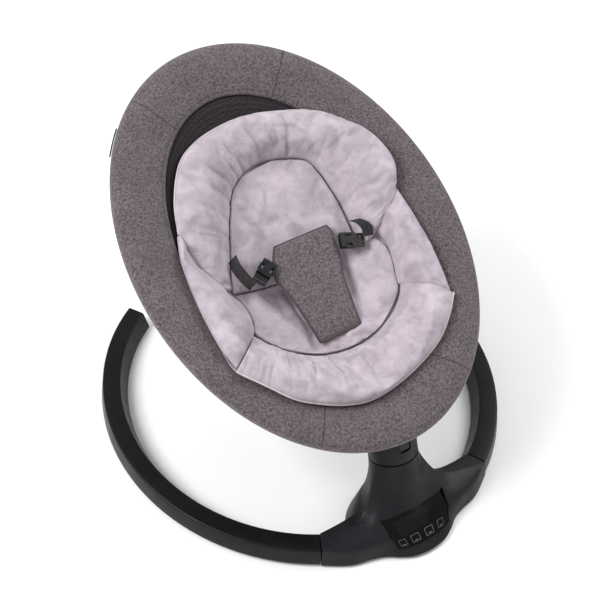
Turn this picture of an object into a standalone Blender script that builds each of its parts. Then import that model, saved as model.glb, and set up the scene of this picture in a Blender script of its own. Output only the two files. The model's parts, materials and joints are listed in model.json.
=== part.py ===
"""Electric baby swing: an oval fabric seat on a leaning swing axis over a C-shaped floor ring.

Frame: metres, +Z up, front of the swing towards -Y, origin on the floor at the centre of the
overall box.  The seat swings side to side about an axis that leans back, tilts on a cross pin in
the neck, and carries a quilted insert with a crotch pad and two side-release buckles.
"""
import math

import bmesh
import bpy
from mathutils import Matrix, Vector

# ---------------------------------------------------------------- driving dimensions (metres)
FIT = 0.0003                      # gap between two pieces that touch
WALL = 0.003                      # moulded wall of the motor housing

# The housing and ring are drawn about the datum below, which sits this far in front of the origin.
DATUM_SHIFT = 0.0043

# floor ring: an ellipse in plan, open at the back
RING_Y = 0.0116                   # centre of the ring along Y
RING_STRETCH = 1.0614             # its Y radius over its X radius
RING_BOTTOM = 0.0055
RING_TOP = 0.0356
RING_OUTER_BOTTOM = 0.3190
RING_OUTER_TOP = 0.3150
RING_INNER_TOP = 0.2874
RING_INNER_BOTTOM = 0.2763
SEAM_ANGLE = math.radians(28.9)   # where an arm leaves the housing, from the front
TIP_ANGLE = math.radians(147.9)   # where an arm ends at the back

# neck and swing axis
NECK_POINT = Vector((0.0, -0.2370, 0.1146))
NECK_RADIUS = 0.0372
SWING_LEAN = math.radians(20.0)
SHAFT_RADIUS = 0.006
COLLAR_TOP = 0.0450
PIVOT_HEIGHT = 0.036              # recline pin above the neck joint, along the swing axis

# seat rim
SEAT_CENTRE = Vector((0.0, 0.0273, 0.3424))
SEAT_TILT = math.radians(25.5)
RIM_HALF_WIDTH = 0.260
RIM_HALF_LENGTH = 0.340
RIM_TUBE_RADIUS = 0.009
RIM_TUBE_INSET = 0.0125           # tube centre line inside the rim's outer edge
RIM_TUBE_DROP = 0.0105
BAND_WIDTH = 0.083

# bowl of the seat, an ellipse inside the band
BOWL_HALF_WIDTH = RIM_HALF_WIDTH - BAND_WIDTH
BOWL_HALF_LENGTH = RIM_HALF_LENGTH - BAND_WIDTH
BOWL_EDGE = -0.023
BOWL_DEPTH = 0.092
BOWL_LEAN = 0.35                  # how much deeper the foot half is
CLOTH = 0.003

UP = Vector((0, 0, 1))


# ---------------------------------------------------------------- scene and materials
def clear_scene():
    for item in list(bpy.data.objects):
        bpy.data.objects.remove(item, do_unlink=True)


def material(name, colour, roughness, metallic=0.0):
    surface = bpy.data.materials.new(name)
    surface.use_nodes = True
    shader = surface.node_tree.nodes["Principled BSDF"]
    shader.inputs["Base Color"].default_value = (*colour, 1.0)
    shader.inputs["Roughness"].default_value = roughness
    shader.inputs["Metallic"].default_value = metallic
    return surface


def make_materials():
    return {
        "housing": material("charcoal_plastic", (0.018, 0.018, 0.020), 0.48),
        "arm": material("black_satin_plastic", (0.013, 0.013, 0.014), 0.38),
        "lens": material("black_gloss_lens", (0.006, 0.006, 0.007), 0.06),
        "inner": material("grey_inner_plastic", (0.10, 0.10, 0.11), 0.55),
        "steel": material("bright_steel", (0.56, 0.57, 0.58), 0.30, 1.0),
        "copper": material("enamelled_copper", (0.55, 0.22, 0.08), 0.35, 1.0),
        "board": material("green_board", (0.02, 0.12, 0.05), 0.50),
        "rubber": material("foot_rubber", (0.02, 0.02, 0.02), 0.85),
        "band": material("taupe_melange_cloth", (0.125, 0.108, 0.108), 0.90),
        "mesh": material("black_air_mesh", (0.012, 0.012, 0.013), 0.80),
        "velour": material("grey_lilac_velour", (0.50, 0.475, 0.50), 0.95),
        "pad": material("grey_melange_cloth", (0.14, 0.13, 0.132), 0.90),
        "webbing": material("black_webbing", (0.02, 0.02, 0.022), 0.75),
        "buckle": material("buckle_acetal", (0.010, 0.010, 0.011), 0.30),
    }


# ---------------------------------------------------------------- mesh helpers
def finish_mesh(name, bm, surface, parent=None, location=(0, 0, 0), sharp=40.0, closed=True):
    if closed:
        bmesh.ops.recalc_face_normals(bm, faces=bm.faces)
    mesh = bpy.data.meshes.new(name)
    bm.to_mesh(mesh)
    bm.free()
    mesh.materials.append(surface)
    mesh.shade_smooth()
    mesh.set_sharp_from_angle(angle=math.radians(sharp))
    item = bpy.data.objects.new(name, mesh)
    bpy.context.scene.collection.objects.link(item)
    item.parent = parent
    item.location = location
    return item


def frame_empty(name, location, tilt=0.0, parent=None, turn=0.0):
    empty = bpy.data.objects.new(name, None)
    bpy.context.scene.collection.objects.link(empty)
    empty.parent = parent
    empty.location = location
    empty.rotation_euler = (tilt, 0.0, turn)
    return empty


def add_rings(bm, rings):
    return [[bm.verts.new(point) for point in ring] for ring in rings]


def bridge(bm, first, second):
    count = len(first)
    for i in range(count):
        j = (i + 1) % count
        bm.faces.new((first[i], first[j], second[j], second[i]))


def loft(name, rings, surface, looped=False, **place):
    """Skin closed rings in order; cap both ends, or join the last ring to the first."""
    bm = bmesh.new()
    rows = add_rings(bm, rings)
    for first, second in zip(rows, rows[1:]):
        bridge(bm, first, second)
    if looped:
        bridge(bm, rows[-1], rows[0])
    else:
        bm.faces.new(rows[0])
        bm.faces.new(rows[-1])
    return finish_mesh(name, bm, surface, **place)


def lathe(name, profile, surface, steps=32, **place):
    """Turn a closed (radius, height) profile about local Z; no point lies on the axis."""
    rings = []
    for k in range(steps):
        angle = 2 * math.pi * k / steps
        rings.append([(r * math.cos(angle), r * math.sin(angle), z) for r, z in profile])
    return loft(name, rings, surface, looped=True, **place)


def solid_lathe(name, profile, surface, steps=24, **place):
    """Turn an open (radius, height) profile and close both ends flat."""
    rings = []
    for r, z in profile:
        rings.append([(r * math.cos(2 * math.pi * k / steps), r * math.sin(2 * math.pi * k / steps), z)
                      for k in range(steps)])
    return loft(name, rings, surface, **place)


def prism(name, outline, low, high, surface, bevel=0.0, **place):
    item = loft(name, [[(x, y, low) for x, y in outline], [(x, y, high) for x, y in outline]],
                surface, **place)
    if bevel:
        add_bevel(item, bevel)
    return item


def box(name, low, high, surface, bevel=0.0, **place):
    outline = [(low[0], low[1]), (high[0], low[1]), (high[0], high[1]), (low[0], high[1])]
    return prism(name, outline, low[2], high[2], surface, bevel, **place)


def add_bevel(item, width, segments=2):
    modifier = item.modifiers.new("edge_round", "BEVEL")
    modifier.width = width
    modifier.segments = segments
    modifier.limit_method = "ANGLE"
    modifier.angle_limit = math.radians(40)


def hide_tool(item):
    item.hide_render = True
    item.display_type = "WIRE"


def boolean(item, tool, operation):
    hide_tool(tool)
    modifier = item.modifiers.new(operation.lower(), "BOOLEAN")
    modifier.operation = operation
    modifier.solver = "EXACT"
    modifier.object = tool


def spline(points, count):
    """Catmull-Rom curve through the points, with end tangents kept; count spans evenly by index."""
    points = [Vector(p) for p in points]
    ends = [points[0] * 2 - points[1]] + points + [points[-1] * 2 - points[-2]]
    curve = []
    for k in range(count + 1):
        position = k / count * (len(points) - 1)
        i = min(int(position), len(points) - 2)
        t = position - i
        a, b, c, d = ends[i:i + 4]
        curve.append(0.5 * (2 * b + (c - a) * t + (2 * a - 5 * b + 4 * c - d) * t ** 2
                            + (3 * b - a - 3 * c + d) * t ** 3))
    return curve


def inset_outline(outline, amount):
    """Move each corner of a counter-clockwise outline inwards by the same wall thickness."""
    count = len(outline)
    moved = []
    for i in range(count):
        before = Vector(outline[i]) - Vector(outline[i - 1])
        after = Vector(outline[(i + 1) % count]) - Vector(outline[i])
        normal_a = Vector((-before.y, before.x)).normalized()
        normal_b = Vector((-after.y, after.x)).normalized()
        corner = normal_a + normal_b
        corner *= amount / max(0.35, (1 + normal_a.dot(normal_b)))
        moved.append(Vector(outline[i]) + corner)
    return moved


# ---------------------------------------------------------------- motor housing
# Half outlines in plan, from the front centre to the arm seam, and from the seam to the back.
FOOT_FRONT = [(0, -0.3493), (0.026, -0.3460), (0.047, -0.3360), (0.064, -0.3245),
              (0.084, -0.3170), (0.117, -0.3085), (0.1535, -0.2865)]
SHOULDER_FRONT = [(0, -0.313), (0.028, -0.3135), (0.048, -0.3150), (0.064, -0.3155),
                  (0.085, -0.3115), (0.115, -0.3010), (0.1515, -0.2827)]
FOOT_BACK = [(0.1325, -0.2450), (0.108, -0.2555), (0.088, -0.2480), (0.068, -0.2280),
             (0.038, -0.2115), (0, -0.2060)]
SHOULDER_BACK = [(0.138, -0.2555), (0.112, -0.2650), (0.090, -0.2600), (0.068, -0.2430),
                 (0.037, -0.2185), (0, -0.2085)]
# Along each half outline: how fast the ray turns up to the neck, the share of it that lies along
# the arm first, and the angle at which it meets the neck ring.
RAY_FRONT = [(5.0, 0.0, -90), (5.0, 0.0, -68), (4.3, 0.03, -50), (3.7, 0.10, -38),
             (3.1, 0.22, -27), (1.9, 0.52, -17), (1.45, 0.64, -9)]
RAY_BACK = [(1.45, 0.64, -3), (1.45, 0.60, 6), (1.6, 0.50, 16), (1.8, 0.30, 30), (1.6, 0.08, 58),
            (1.6, 0.0, 90)]
SPREAD_FLARE = 14                 # how fast the part that lies along the arms turns up
FRONT_SPANS = 26
SEAM_SPANS = 3
BACK_SPANS = 16
HOUSING_BOTTOM = 0.0045
LIP_TOP = 0.0075                  # the housing's wall is upright up to here
LOW_LEVELS = [HOUSING_BOTTOM, LIP_TOP, 0.0185, 0.0290, RING_TOP]
HIGH_LEVELS = [0.08, 0.17, 0.29, 0.43, 0.60, 0.80, 1.0]
NECK_HOLE_RADIUS = 0.0165
# The lens lies on the front face: (height, columns each side of the middle) from bottom to top.
LENS_COLUMNS = 240
LENS_ROWS = [(0.0165, 40), (0.0215, 41), (0.0275, 43), (0.0335, 47), (1.025, 52), (1.055, 58),
             (1.10, 67), (1.16, 80)]
LENS_OUTER = 0.0022               # its two faces, proud of the housing
LENS_INNER = 0.0006
SHOULDER_AXIS = Vector((0.0, -0.2657, RING_TOP))


def mirrored(half):
    """Both halves of a symmetric outline, from its half on the +X side."""
    return [(-x, y) for x, y in reversed(half[1:])] + list(half)


def front_columns(spans):
    """(foot, shoulder, ray) of evenly spaced columns from the left arm to the right."""
    rays = [(flare, spread, -180 - angle) for flare, spread, angle in RAY_FRONT[:0:-1]] + RAY_FRONT
    curves = (spline(mirrored(FOOT_FRONT), spans), spline(mirrored(SHOULDER_FRONT), spans),
              spline(rays, spans))
    return list(zip(*curves))


def back_columns(spans):
    foot = FOOT_BACK + [(-x, y) for x, y in FOOT_BACK[-2::-1]]
    shoulder = SHOULDER_BACK + [(-x, y) for x, y in SHOULDER_BACK[-2::-1]]
    rays = RAY_BACK + [(flare, spread, 180 - angle) for flare, spread, angle in RAY_BACK[-2::-1]]
    curves = (spline(foot, spans), spline(shoulder, spans), spline(rays, spans))
    return list(zip(*curves))


def seam_columns(first, last):
    """Columns across the flat end face where an arm joins, between its two corner columns."""
    sweep = Vector((0, 0, (last[2].z - first[2].z) % 360 - (last[2].z - first[2].z)))
    columns = []
    for k in range(1, SEAM_SPANS):
        t = k / SEAM_SPANS
        columns.append((first[0].lerp(last[0], t), first[1].lerp(last[1], t),
                        first[2].lerp(last[2] + sweep, t)))
    return columns


def housing_point(column, height):
    """A point of the outer surface: height is metres up to the shoulder, then 1..2 to the neck."""
    foot, shoulder, (flare, spread, angle) = column
    if height < 1.0:
        level = max(0.0, (height - LIP_TOP) / (RING_TOP - LIP_TOP))
        flat = foot.lerp(shoulder, level)
        return Vector((flat.x, flat.y, height))
    rise = height - 1.0
    angle = math.radians(angle)
    start = Vector((shoulder.x, shoulder.y, RING_TOP)) - SHOULDER_AXIS
    lean = Matrix.Rotation(-SWING_LEAN, 3, "X")
    end = lean @ Vector((NECK_RADIUS * math.cos(angle), NECK_RADIUS * math.sin(angle), 0))
    centre = SHOULDER_AXIS.lerp(NECK_POINT, rise)
    reach = spread * (1 - rise) ** SPREAD_FLARE + (1 - spread) * (1 - rise) ** flare
    return centre + end + (start - end) * reach


def housing_columns():
    """Every column of the housing, counter-clockwise seen from above, and the seam spans."""
    front = front_columns(FRONT_SPANS)
    back = back_columns(BACK_SPANS)
    right_seam = seam_columns(front[-1], back[0])
    left_seam = seam_columns(back[-1], front[0])
    columns = front + right_seam + back + left_seam
    seam_starts = [len(front), len(front) + len(right_seam) + len(back)]
    return columns, seam_starts


def make_housing_shell(mats):
    columns, seam_starts = housing_columns()
    count = len(columns)
    heights = LOW_LEVELS + [1 + rise for rise in HIGH_LEVELS]
    rings = [[housing_point(column, height) for column in columns] for height in heights]
    rings.append([NECK_POINT + (rim - NECK_POINT) * (NECK_HOLE_RADIUS / NECK_RADIUS)
                  for rim in rings[-1]])
    bm = bmesh.new()
    rows = add_rings(bm, rings)
    for first, second in zip(rows, rows[1:]):
        bridge(bm, first, second)
    window = []
    for r in range(1, len(LOW_LEVELS)):
        for c in range(count):
            middle = (rings[r][c] + rings[r + 1][(c + 1) % count]) / 2
            behind_lens = r >= 2 and abs(middle.x) < 0.031 and middle.y < -0.29
            arm_socket = r <= 2 and c in seam_starts
            if behind_lens or arm_socket:
                window.append((r, c))
    doomed = []
    for r, c in window:
        after = (c + 1) % count
        corners = {rows[r][c], rows[r][after], rows[r + 1][c], rows[r + 1][after]}
        doomed += [face for face in rows[r][c].link_faces if set(face.verts) == corners]
    bmesh.ops.delete(bm, geom=doomed, context="FACES")
    shell = finish_mesh("housing_shell", bm, mats["housing"], closed=False)
    wall = shell.modifiers.new("wall", "SOLIDIFY")
    wall.thickness = WALL
    wall.offset = -1.0
    hole = solid_lathe("inlet_hole_tool", [(0.0058, 0.0), (0.0058, 0.020)], mats["inner"], 20,
                       location=(0, -0.222, 0.0190))
    hole.rotation_euler = (-math.pi / 2, 0, 0)
    boolean(shell, hole, "DIFFERENCE")


def make_bottom_cover(mats):
    outline = [foot for foot, _, _ in housing_columns()[0]]
    inner = inset_outline(outline, WALL + 0.0010)
    prism("housing_bottom_cover", [(p.x, p.y) for p in inner], HOUSING_BOTTOM, HOUSING_BOTTOM + 0.0025,
          mats["inner"])


def make_panel_lens(mats):
    """Curved glossy cover plate that follows the housing's front face."""
    columns = front_columns(LENS_COLUMNS)
    across = 16
    outer, inner = [], []
    for height, half in LENS_ROWS:
        outer_row, inner_row = [], []
        for c in range(across + 1):
            k = LENS_COLUMNS // 2 + round(half * (2 * c / across - 1))
            here = housing_point(columns[k], height)
            along = housing_point(columns[k + 3], height) - housing_point(columns[k - 3], height)
            rise = 0.05 if height > 1 else 0.002
            up = housing_point(columns[k], height + rise) - here
            normal = along.cross(up).normalized()
            outer_row.append(here + normal * LENS_OUTER)
            inner_row.append(here + normal * LENS_INNER)
        outer.append(outer_row)
        inner.append(inner_row)
    sheet_solid("panel_lens", outer, inner, mats["lens"])


def sheet_solid(name, top, bottom, surface, **place):
    """Closed solid between two grids of points of the same size."""
    bm = bmesh.new()
    rows, columns = len(top), len(top[0])
    upper = [[bm.verts.new(p) for p in row] for row in top]
    lower = [[bm.verts.new(p) for p in row] for row in bottom]
    for r in range(rows - 1):
        for c in range(columns - 1):
            for grid in (upper, lower):
                bm.faces.new((grid[r][c], grid[r][c + 1], grid[r + 1][c + 1], grid[r + 1][c]))
    border = [(0, c) for c in range(columns)] + [(r, columns - 1) for r in range(1, rows)]
    border += [(rows - 1, c) for c in range(columns - 2, -1, -1)]
    border += [(r, 0) for r in range(rows - 2, 0, -1)]
    for (r0, c0), (r1, c1) in zip(border, border[1:] + border[:1]):
        bm.faces.new((upper[r0][c0], upper[r1][c1], lower[r1][c1], lower[r0][c0]))
    return finish_mesh(name, bm, surface, **place)


def make_electronics(mats):
    panel = frame_empty("panel_frame", (0, -0.3105, 0.0335), math.radians(47))
    box("display_module", (-0.024, -0.011, -0.0155), (0.024, 0.011, -0.0120), mats["inner"],
        parent=panel)
    box("control_board", (-0.030, -0.0145, -0.0185), (0.030, 0.0130, -0.0169), mats["board"],
        parent=panel)
    solid_lathe("speaker_driver", [(0.0085, 0.012), (0.0085, 0.018), (0.0120, 0.026), (0.0120, 0.029)],
                mats["inner"], 24, location=(-0.082, -0.279, 0.0))
    jack = lathe("dc_inlet", [(0.0028, 0.012), (0.0054, 0.012), (0.0054, 0.0), (0.0010, 0.0),
                              (0.0010, 0.0025), (0.0028, 0.0025)],
                 mats["buckle"], 20, location=(0, -0.2175, 0.0190))
    jack.rotation_euler = (-math.pi / 2, 0, 0)


def make_bearing_bracket(mats, axis):
    tube = lathe("bearing_bracket", [(0.0150, -0.0640), (0.0195, -0.0640), (0.0195, -0.0045),
                                     (0.0150, -0.0045)], mats["inner"], 32, parent=axis)
    for side in (-1, 1):
        inner, outer = sorted((side * 0.0160, side * 0.0230))
        leg = box("bracket_leg_tool_%d" % side, (inner, -0.270, HOUSING_BOTTOM + 0.0028),
                  (outer, -0.250, 0.072), mats["inner"])
        boolean(tube, leg, "UNION")


def ball_bearing(name, low, mats, axis):
    lathe(name, [(0.0063, low), (0.0147, low), (0.0147, low + 0.008), (0.0063, low + 0.008)],
          mats["steel"], 20, parent=axis)


def make_housing_screws(mats):
    for name, x in (("housing_screw_left", -0.110), ("housing_screw_right", 0.110)):
        solid_lathe(name, [(0.0035, 0.0022), (0.0035, 0.0042)], mats["steel"], 16,
                    location=(x, -0.283, 0.0))


# ---------------------------------------------------------------- floor ring
def ring_point(side, radius, angle, z):
    return Vector((side * radius * math.sin(angle),
                   RING_Y - RING_STRETCH * radius * math.cos(angle), z))


def arm_profile(inset=0.0):
    """Counter-clockwise (radius, height) section of an arm, with its four edges blunted."""
    blunt = 0.0014
    corners = [(RING_INNER_BOTTOM, RING_BOTTOM), (RING_OUTER_BOTTOM, RING_BOTTOM),
               (RING_OUTER_TOP, RING_TOP), (RING_INNER_TOP, RING_TOP)]
    corners = [tuple(p) for p in inset_outline([Vector(c) for c in corners], inset)]
    outline = []
    for i, corner in enumerate(corners):
        here = Vector(corner)
        for other in (corners[i - 1], corners[(i + 1) % 4]):
            outline.append(here + (Vector(other) - here).normalized() * blunt)
    return outline


def ring_section(side, profile, angle):
    return [ring_point(side, p.x, angle, p.y) for p in profile]


def make_arm(side, name, mats):
    spans = 18
    angles = [SEAM_ANGLE + (TIP_ANGLE - SEAM_ANGLE) * k / spans for k in range(spans + 1)]
    bm = bmesh.new()
    outer = add_rings(bm, [ring_section(side, arm_profile(), a) for a in angles])
    inner = add_rings(bm, [ring_section(side, arm_profile(WALL), a) for a in angles])
    for rows in (outer, inner):
        for first, second in zip(rows, rows[1:]):
            bridge(bm, first, second)
    bridge(bm, outer[0], inner[0])
    bridge(bm, outer[-1], inner[-1])
    finish_mesh(name, bm, mats["arm"], sharp=25)


def make_arm_end_cap(side, name, mats):
    gap, cap, plug = 0.0013, 0.009, 0.025      # angles: clear of the arm, its head, into the arm
    inside = arm_profile(WALL + 0.0005)
    sections = [(arm_profile(), TIP_ANGLE + cap), (arm_profile(), TIP_ANGLE + gap),
                (inside, TIP_ANGLE + gap), (inside, TIP_ANGLE - plug)]
    loft(name, [ring_section(side, p, a) for p, a in sections], mats["arm"], sharp=25)


def make_arm_joint_bar(side, name, mats):
    half_width, low, high = 0.0043, 0.0140, 0.0250
    middle = 0.3003
    section = [Vector((middle - half_width, low)), Vector((middle + half_width, low)),
               Vector((middle + half_width, high)), Vector((middle - half_width, high))]
    start, end = math.radians(23.5), math.radians(36)
    rings = [ring_section(side, section, start + (end - start) * k / 6) for k in range(7)]
    loft(name, rings, mats["steel"])


def rubber_foot(name, x, y, top, mats):
    solid_lathe(name, [(0.0085, 0.0), (0.0105, 0.0012), (0.0105, top - FIT)], mats["rubber"], 16,
                location=(x, y, 0.0))


def make_feet(mats):
    rubber_foot("foot_front", 0.0, -0.322, HOUSING_BOTTOM, mats)
    middle = (RING_INNER_BOTTOM + RING_OUTER_BOTTOM) / 2
    for word, side in (("left", -1), ("right", 1)):
        for place, angle in (("middle", math.radians(78)), ("rear", math.radians(141))):
            spot = ring_point(side, middle, angle, 0)
            rubber_foot("foot_%s_%s" % (place, word), spot.x, spot.y, RING_BOTTOM, mats)


# ---------------------------------------------------------------- swing drive and neck
def make_drive(mats, axis):
    lever_low = -0.0740
    solid_lathe("swing_shaft", [(SHAFT_RADIUS, -0.0685), (SHAFT_RADIUS, 0.0210)], mats["steel"], 24,
                parent=axis)
    lathe("shaft_circlip", [(0.0063, -0.0665), (0.0098, -0.0665), (0.0098, -0.0655), (0.0063, -0.0655)],
          mats["steel"], 24, parent=axis)
    hub = [(0.0115 * math.cos(a), 0.0115 * math.sin(a))
           for a in (math.radians(65 - 310 * k / 18) for k in range(19))]
    arm = [(-0.0050, 0.0400), (0.0050, 0.0400)]
    prism("magnet_lever", hub + arm, lever_low, lever_low + 0.0050, mats["inner"], parent=axis)
    box("drive_magnet", (-0.0070, 0.0265, lever_low - 0.0060), (0.0070, 0.0385, lever_low - FIT),
        mats["steel"], 0.0006, parent=axis)
    lathe("drive_coil", [(0.0050, -0.0875), (0.0110, -0.0875), (0.0110, -0.0825), (0.0050, -0.0825)],
          mats["copper"], 20, parent=axis, location=(0, 0.0330, 0))


def make_collar(mats, axis):
    profile = [(SHAFT_RADIUS + 0.0004, 0.0018), (NECK_RADIUS - 0.0008, 0.0020),
               (NECK_RADIUS, 0.0028), (NECK_RADIUS - 0.0003, 0.0436),
               (NECK_RADIUS - 0.0016, COLLAR_TOP), (NECK_RADIUS - 0.0034, COLLAR_TOP),
               (NECK_RADIUS - 0.0034, 0.0080), (0.0120, 0.0080), (0.0115, 0.0190),
               (SHAFT_RADIUS + 0.0004, 0.0190)]
    collar = lathe("neck_collar", profile, mats["housing"], 36, parent=axis)
    pocket = box("button_pocket_tool", (-0.0096, -0.0420, 0.0204), (0.0096, -0.0290, 0.0386),
                 mats["housing"], parent=axis)
    boolean(collar, pocket, "DIFFERENCE")
    bore = solid_lathe("pin_bore_tool", [(0.0034, -0.045), (0.0034, 0.045)], mats["housing"], 20,
                       parent=axis, location=(0, 0, PIVOT_HEIGHT))
    bore.rotation_euler = (0, math.pi / 2, 0)
    boolean(collar, bore, "DIFFERENCE")
    pin = solid_lathe("recline_pin", [(0.0030, -0.0362), (0.0030, 0.0362)], mats["steel"], 20,
                      parent=axis, location=(0, 0, PIVOT_HEIGHT))
    pin.rotation_euler = (0, math.pi / 2, 0)
    box("recline_button", (-0.0090, 0.0, -0.0085), (0.0090, 0.0110, 0.0085), mats["buckle"], 0.0012,
        parent=axis, location=(0, -0.0346, 0.0295))


# ---------------------------------------------------------------- seat frame
def rim_point(angle, inset, height):
    """A point at a distance inside the rim's outer ellipse; angle 0 at +X, 90 at the head."""
    x, s = RIM_HALF_WIDTH * math.cos(angle), RIM_HALF_LENGTH * math.sin(angle)
    normal = Vector((math.cos(angle) / RIM_HALF_WIDTH, math.sin(angle) / RIM_HALF_LENGTH)).normalized()
    return Vector((x - normal.x * inset, s - normal.y * inset, height))


def rim_tube_section(angle, radius, sides=8):
    centre = rim_point(angle, RIM_TUBE_INSET, -RIM_TUBE_DROP)
    outward = (rim_point(angle, 0, 0) - rim_point(angle, 0.01, 0)).normalized()
    section = []
    for k in range(sides):
        turn = 2 * math.pi * k / sides
        section.append(centre + outward * (radius * math.cos(turn)) + UP * (radius * math.sin(turn)))
    return section


def make_rim_tube(name, start, end, mats, seat):
    spans = 24
    angles = [start + (end - start) * k / spans for k in range(spans + 1)]
    bm = bmesh.new()
    outer = add_rings(bm, [rim_tube_section(a, RIM_TUBE_RADIUS) for a in angles])
    inner = add_rings(bm, [rim_tube_section(a, RIM_TUBE_RADIUS - 0.0014) for a in angles])
    for rows in (outer, inner):
        for first, second in zip(rows, rows[1:]):
            bridge(bm, first, second)
    bridge(bm, outer[0], inner[0])
    bridge(bm, outer[-1], inner[-1])
    finish_mesh(name, bm, mats["steel"], **seat)


def make_tube_joiner(name, middle, mats, seat):
    half = math.radians(3.4)
    rings = [rim_tube_section(middle + half * k / 2, RIM_TUBE_RADIUS - 0.0022) for k in range(-2, 3)]
    loft(name, rings, mats["inner"], **seat)


def make_seat_bracket(mats, seat, pivot_s, pivot_n):
    knuckle = solid_lathe("seat_bracket", [(0.0130, -0.0195), (0.0130, 0.0195)], mats["inner"], 28,
                          parent=seat["parent"], location=(0, 0, 0))
    knuckle.rotation_euler = (0, math.pi / 2, 0)
    web = box("bracket_web_tool", (-0.0175, pivot_s - 0.0085, pivot_n),
              (0.0175, pivot_s + 0.0165, -0.0280), mats["inner"], **seat)
    saddle = box("bracket_saddle_tool", (-0.0230, -0.3160, -0.0310), (0.0230, -0.2900, -0.0155),
                 mats["inner"], **seat)
    bore = solid_lathe("knuckle_bore_tool", [(0.0034, -0.030), (0.0034, 0.030)], mats["inner"], 20,
                       parent=seat["parent"])
    bore.rotation_euler = (0, math.pi / 2, 0)
    boolean(knuckle, web, "UNION")
    boolean(knuckle, saddle, "UNION")
    boolean(knuckle, bore, "DIFFERENCE")


def make_cover_band(mats, seat):
    groove = RIM_TUBE_RADIUS + 0.0012
    arc = []
    for k in range(6):
        turn = math.radians(20 + 260 * k / 5)
        arc.append((RIM_TUBE_INSET + groove * math.cos(turn), -RIM_TUBE_DROP + groove * math.sin(turn)))
    profile = [(0.0140, -0.0236), (0.0055, -0.0220), (0.0010, -0.0172), (0.0, -0.0102),
               (0.0022, -0.0030), (0.0090, 0.0012), (0.0300, 0.0006), (0.0580, -0.0095),
               (BAND_WIDTH, -0.0205), (BAND_WIDTH, -0.0260), (0.0580, -0.0160), (0.0340, -0.0075)]
    outline = profile + arc
    spans = 48
    rings = [[rim_point(2 * math.pi * k / spans, inset, height) for inset, height in outline]
             for k in range(spans)]
    loft("seat_cover_band", rings, mats["band"], looped=True, **seat)


def bowl_height(x, s):
    """Height of the sling; outside the bowl's edge it follows the band's upper face."""
    reach = math.hypot(x / BOWL_HALF_WIDTH, s / BOWL_HALF_LENGTH)
    if reach >= 1:
        return BOWL_EDGE + 0.100 * (reach - 1) + 0.0005
    lean = 1 - BOWL_LEAN * s / BOWL_HALF_LENGTH
    return BOWL_EDGE - BOWL_DEPTH * (1 - reach ** 2) * lean


def bowl_ring(reach, lift, spans):
    ring = []
    for k in range(spans):
        angle = 2 * math.pi * k / spans
        x, s = reach * BOWL_HALF_WIDTH * math.cos(angle), reach * BOWL_HALF_LENGTH * math.sin(angle)
        ring.append((x, s, bowl_height(x, s) + lift))
    return ring


def make_sling(mats, seat):
    spans = 40
    ring_reach = [0.81, 0.90, 0.984]
    rings = [bowl_ring(r, 0, spans) for r in ring_reach]
    rings += [bowl_ring(r, -CLOTH, spans) for r in reversed(ring_reach)]
    loft("mesh_ring", rings, mats["mesh"], looped=True, **seat)
    sling_reach = [0.16, 0.32, 0.48, 0.64, 0.80]
    rings = [bowl_ring(r, 0, spans) for r in sling_reach]
    rings += [bowl_ring(r, -CLOTH, spans) for r in reversed(sling_reach)]
    loft("seat_sling", rings, mats["band"], **seat)


def make_toy_bar_socket(name, middle, mats, seat):
    spans = 6
    half = math.radians(4.2)
    top, bottom = [], []
    for k in range(-spans, spans + 1):
        angle = middle + half * k / spans
        top.append([rim_point(angle, -0.0026, h) for h in (-0.0215, -0.0165, -0.0115)])
        bottom.append([rim_point(angle, -0.0005, h) for h in (-0.0215, -0.0165, -0.0115)])
    sheet_solid(name, top, bottom, mats["buckle"], **seat)


# ---------------------------------------------------------------- quilted insert and harness
INSERT_LIFT = 0.0062
HEAD_OUTER = [(-0.130, -0.020), (-0.150, 0.012), (-0.158, 0.045), (-0.158, 0.078), (-0.139, 0.122),
              (-0.105, 0.174), (-0.066, 0.200), (-0.018, 0.213), (0.029, 0.214), (0.081, 0.201),
              (0.127, 0.176), (0.162, 0.141), (0.188, 0.099), (0.196, 0.052), (0.186, 0.018),
              (0.162, -0.012), (0.130, -0.032)]
HEAD_INNER = [(-0.114, -0.020), (-0.100, 0.008), (-0.088, 0.028), (-0.076, 0.052), (-0.059, 0.085),
              (-0.038, 0.120), (-0.013, 0.140), (0.012, 0.148), (0.040, 0.148), (0.071, 0.139),
              (0.098, 0.122), (0.109, 0.093), (0.116, 0.055), (0.118, 0.022), (0.118, -0.004),
              (0.116, -0.020), (0.114, -0.032)]
BACK_LEFT = [(-0.110, -0.027), (-0.096, 0.004), (-0.084, 0.026), (-0.055, 0.081), (-0.034, 0.115),
             (-0.006, 0.136)]
BACK_RIGHT = [(0.108, -0.040), (0.114, 0.000), (0.112, 0.046), (0.104, 0.092), (0.090, 0.118),
              (0.046, 0.141)]
WING_LEFT_INNER = [(-0.161, 0.020), (-0.130, -0.030), (-0.109, -0.052), (-0.110, -0.078),
                   (-0.123, -0.100)]
WING_LEFT_OUTER = [(-0.183, 0.026), (-0.189, -0.026), (-0.193, -0.070), (-0.194, -0.110),
                   (-0.188, -0.143)]
WING_RIGHT_INNER = [(0.140, -0.036), (0.143, -0.052), (0.140, -0.073), (0.134, -0.095),
                    (0.127, -0.116)]
WING_RIGHT_OUTER = [(0.184, 0.004), (0.186, -0.040), (0.183, -0.090), (0.177, -0.130),
                    (0.171, -0.166)]
SEAT_LEFT = [(-0.111, -0.034), (-0.105, -0.053), (-0.107, -0.078), (-0.117, -0.099), (-0.100, -0.119),
             (-0.072, -0.140), (-0.030, -0.160), (0.006, -0.169)]
SEAT_RIGHT = [(0.133, -0.044), (0.139, -0.058), (0.136, -0.080), (0.129, -0.104), (0.117, -0.127),
              (0.096, -0.146), (0.065, -0.164), (0.036, -0.170)]
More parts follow.
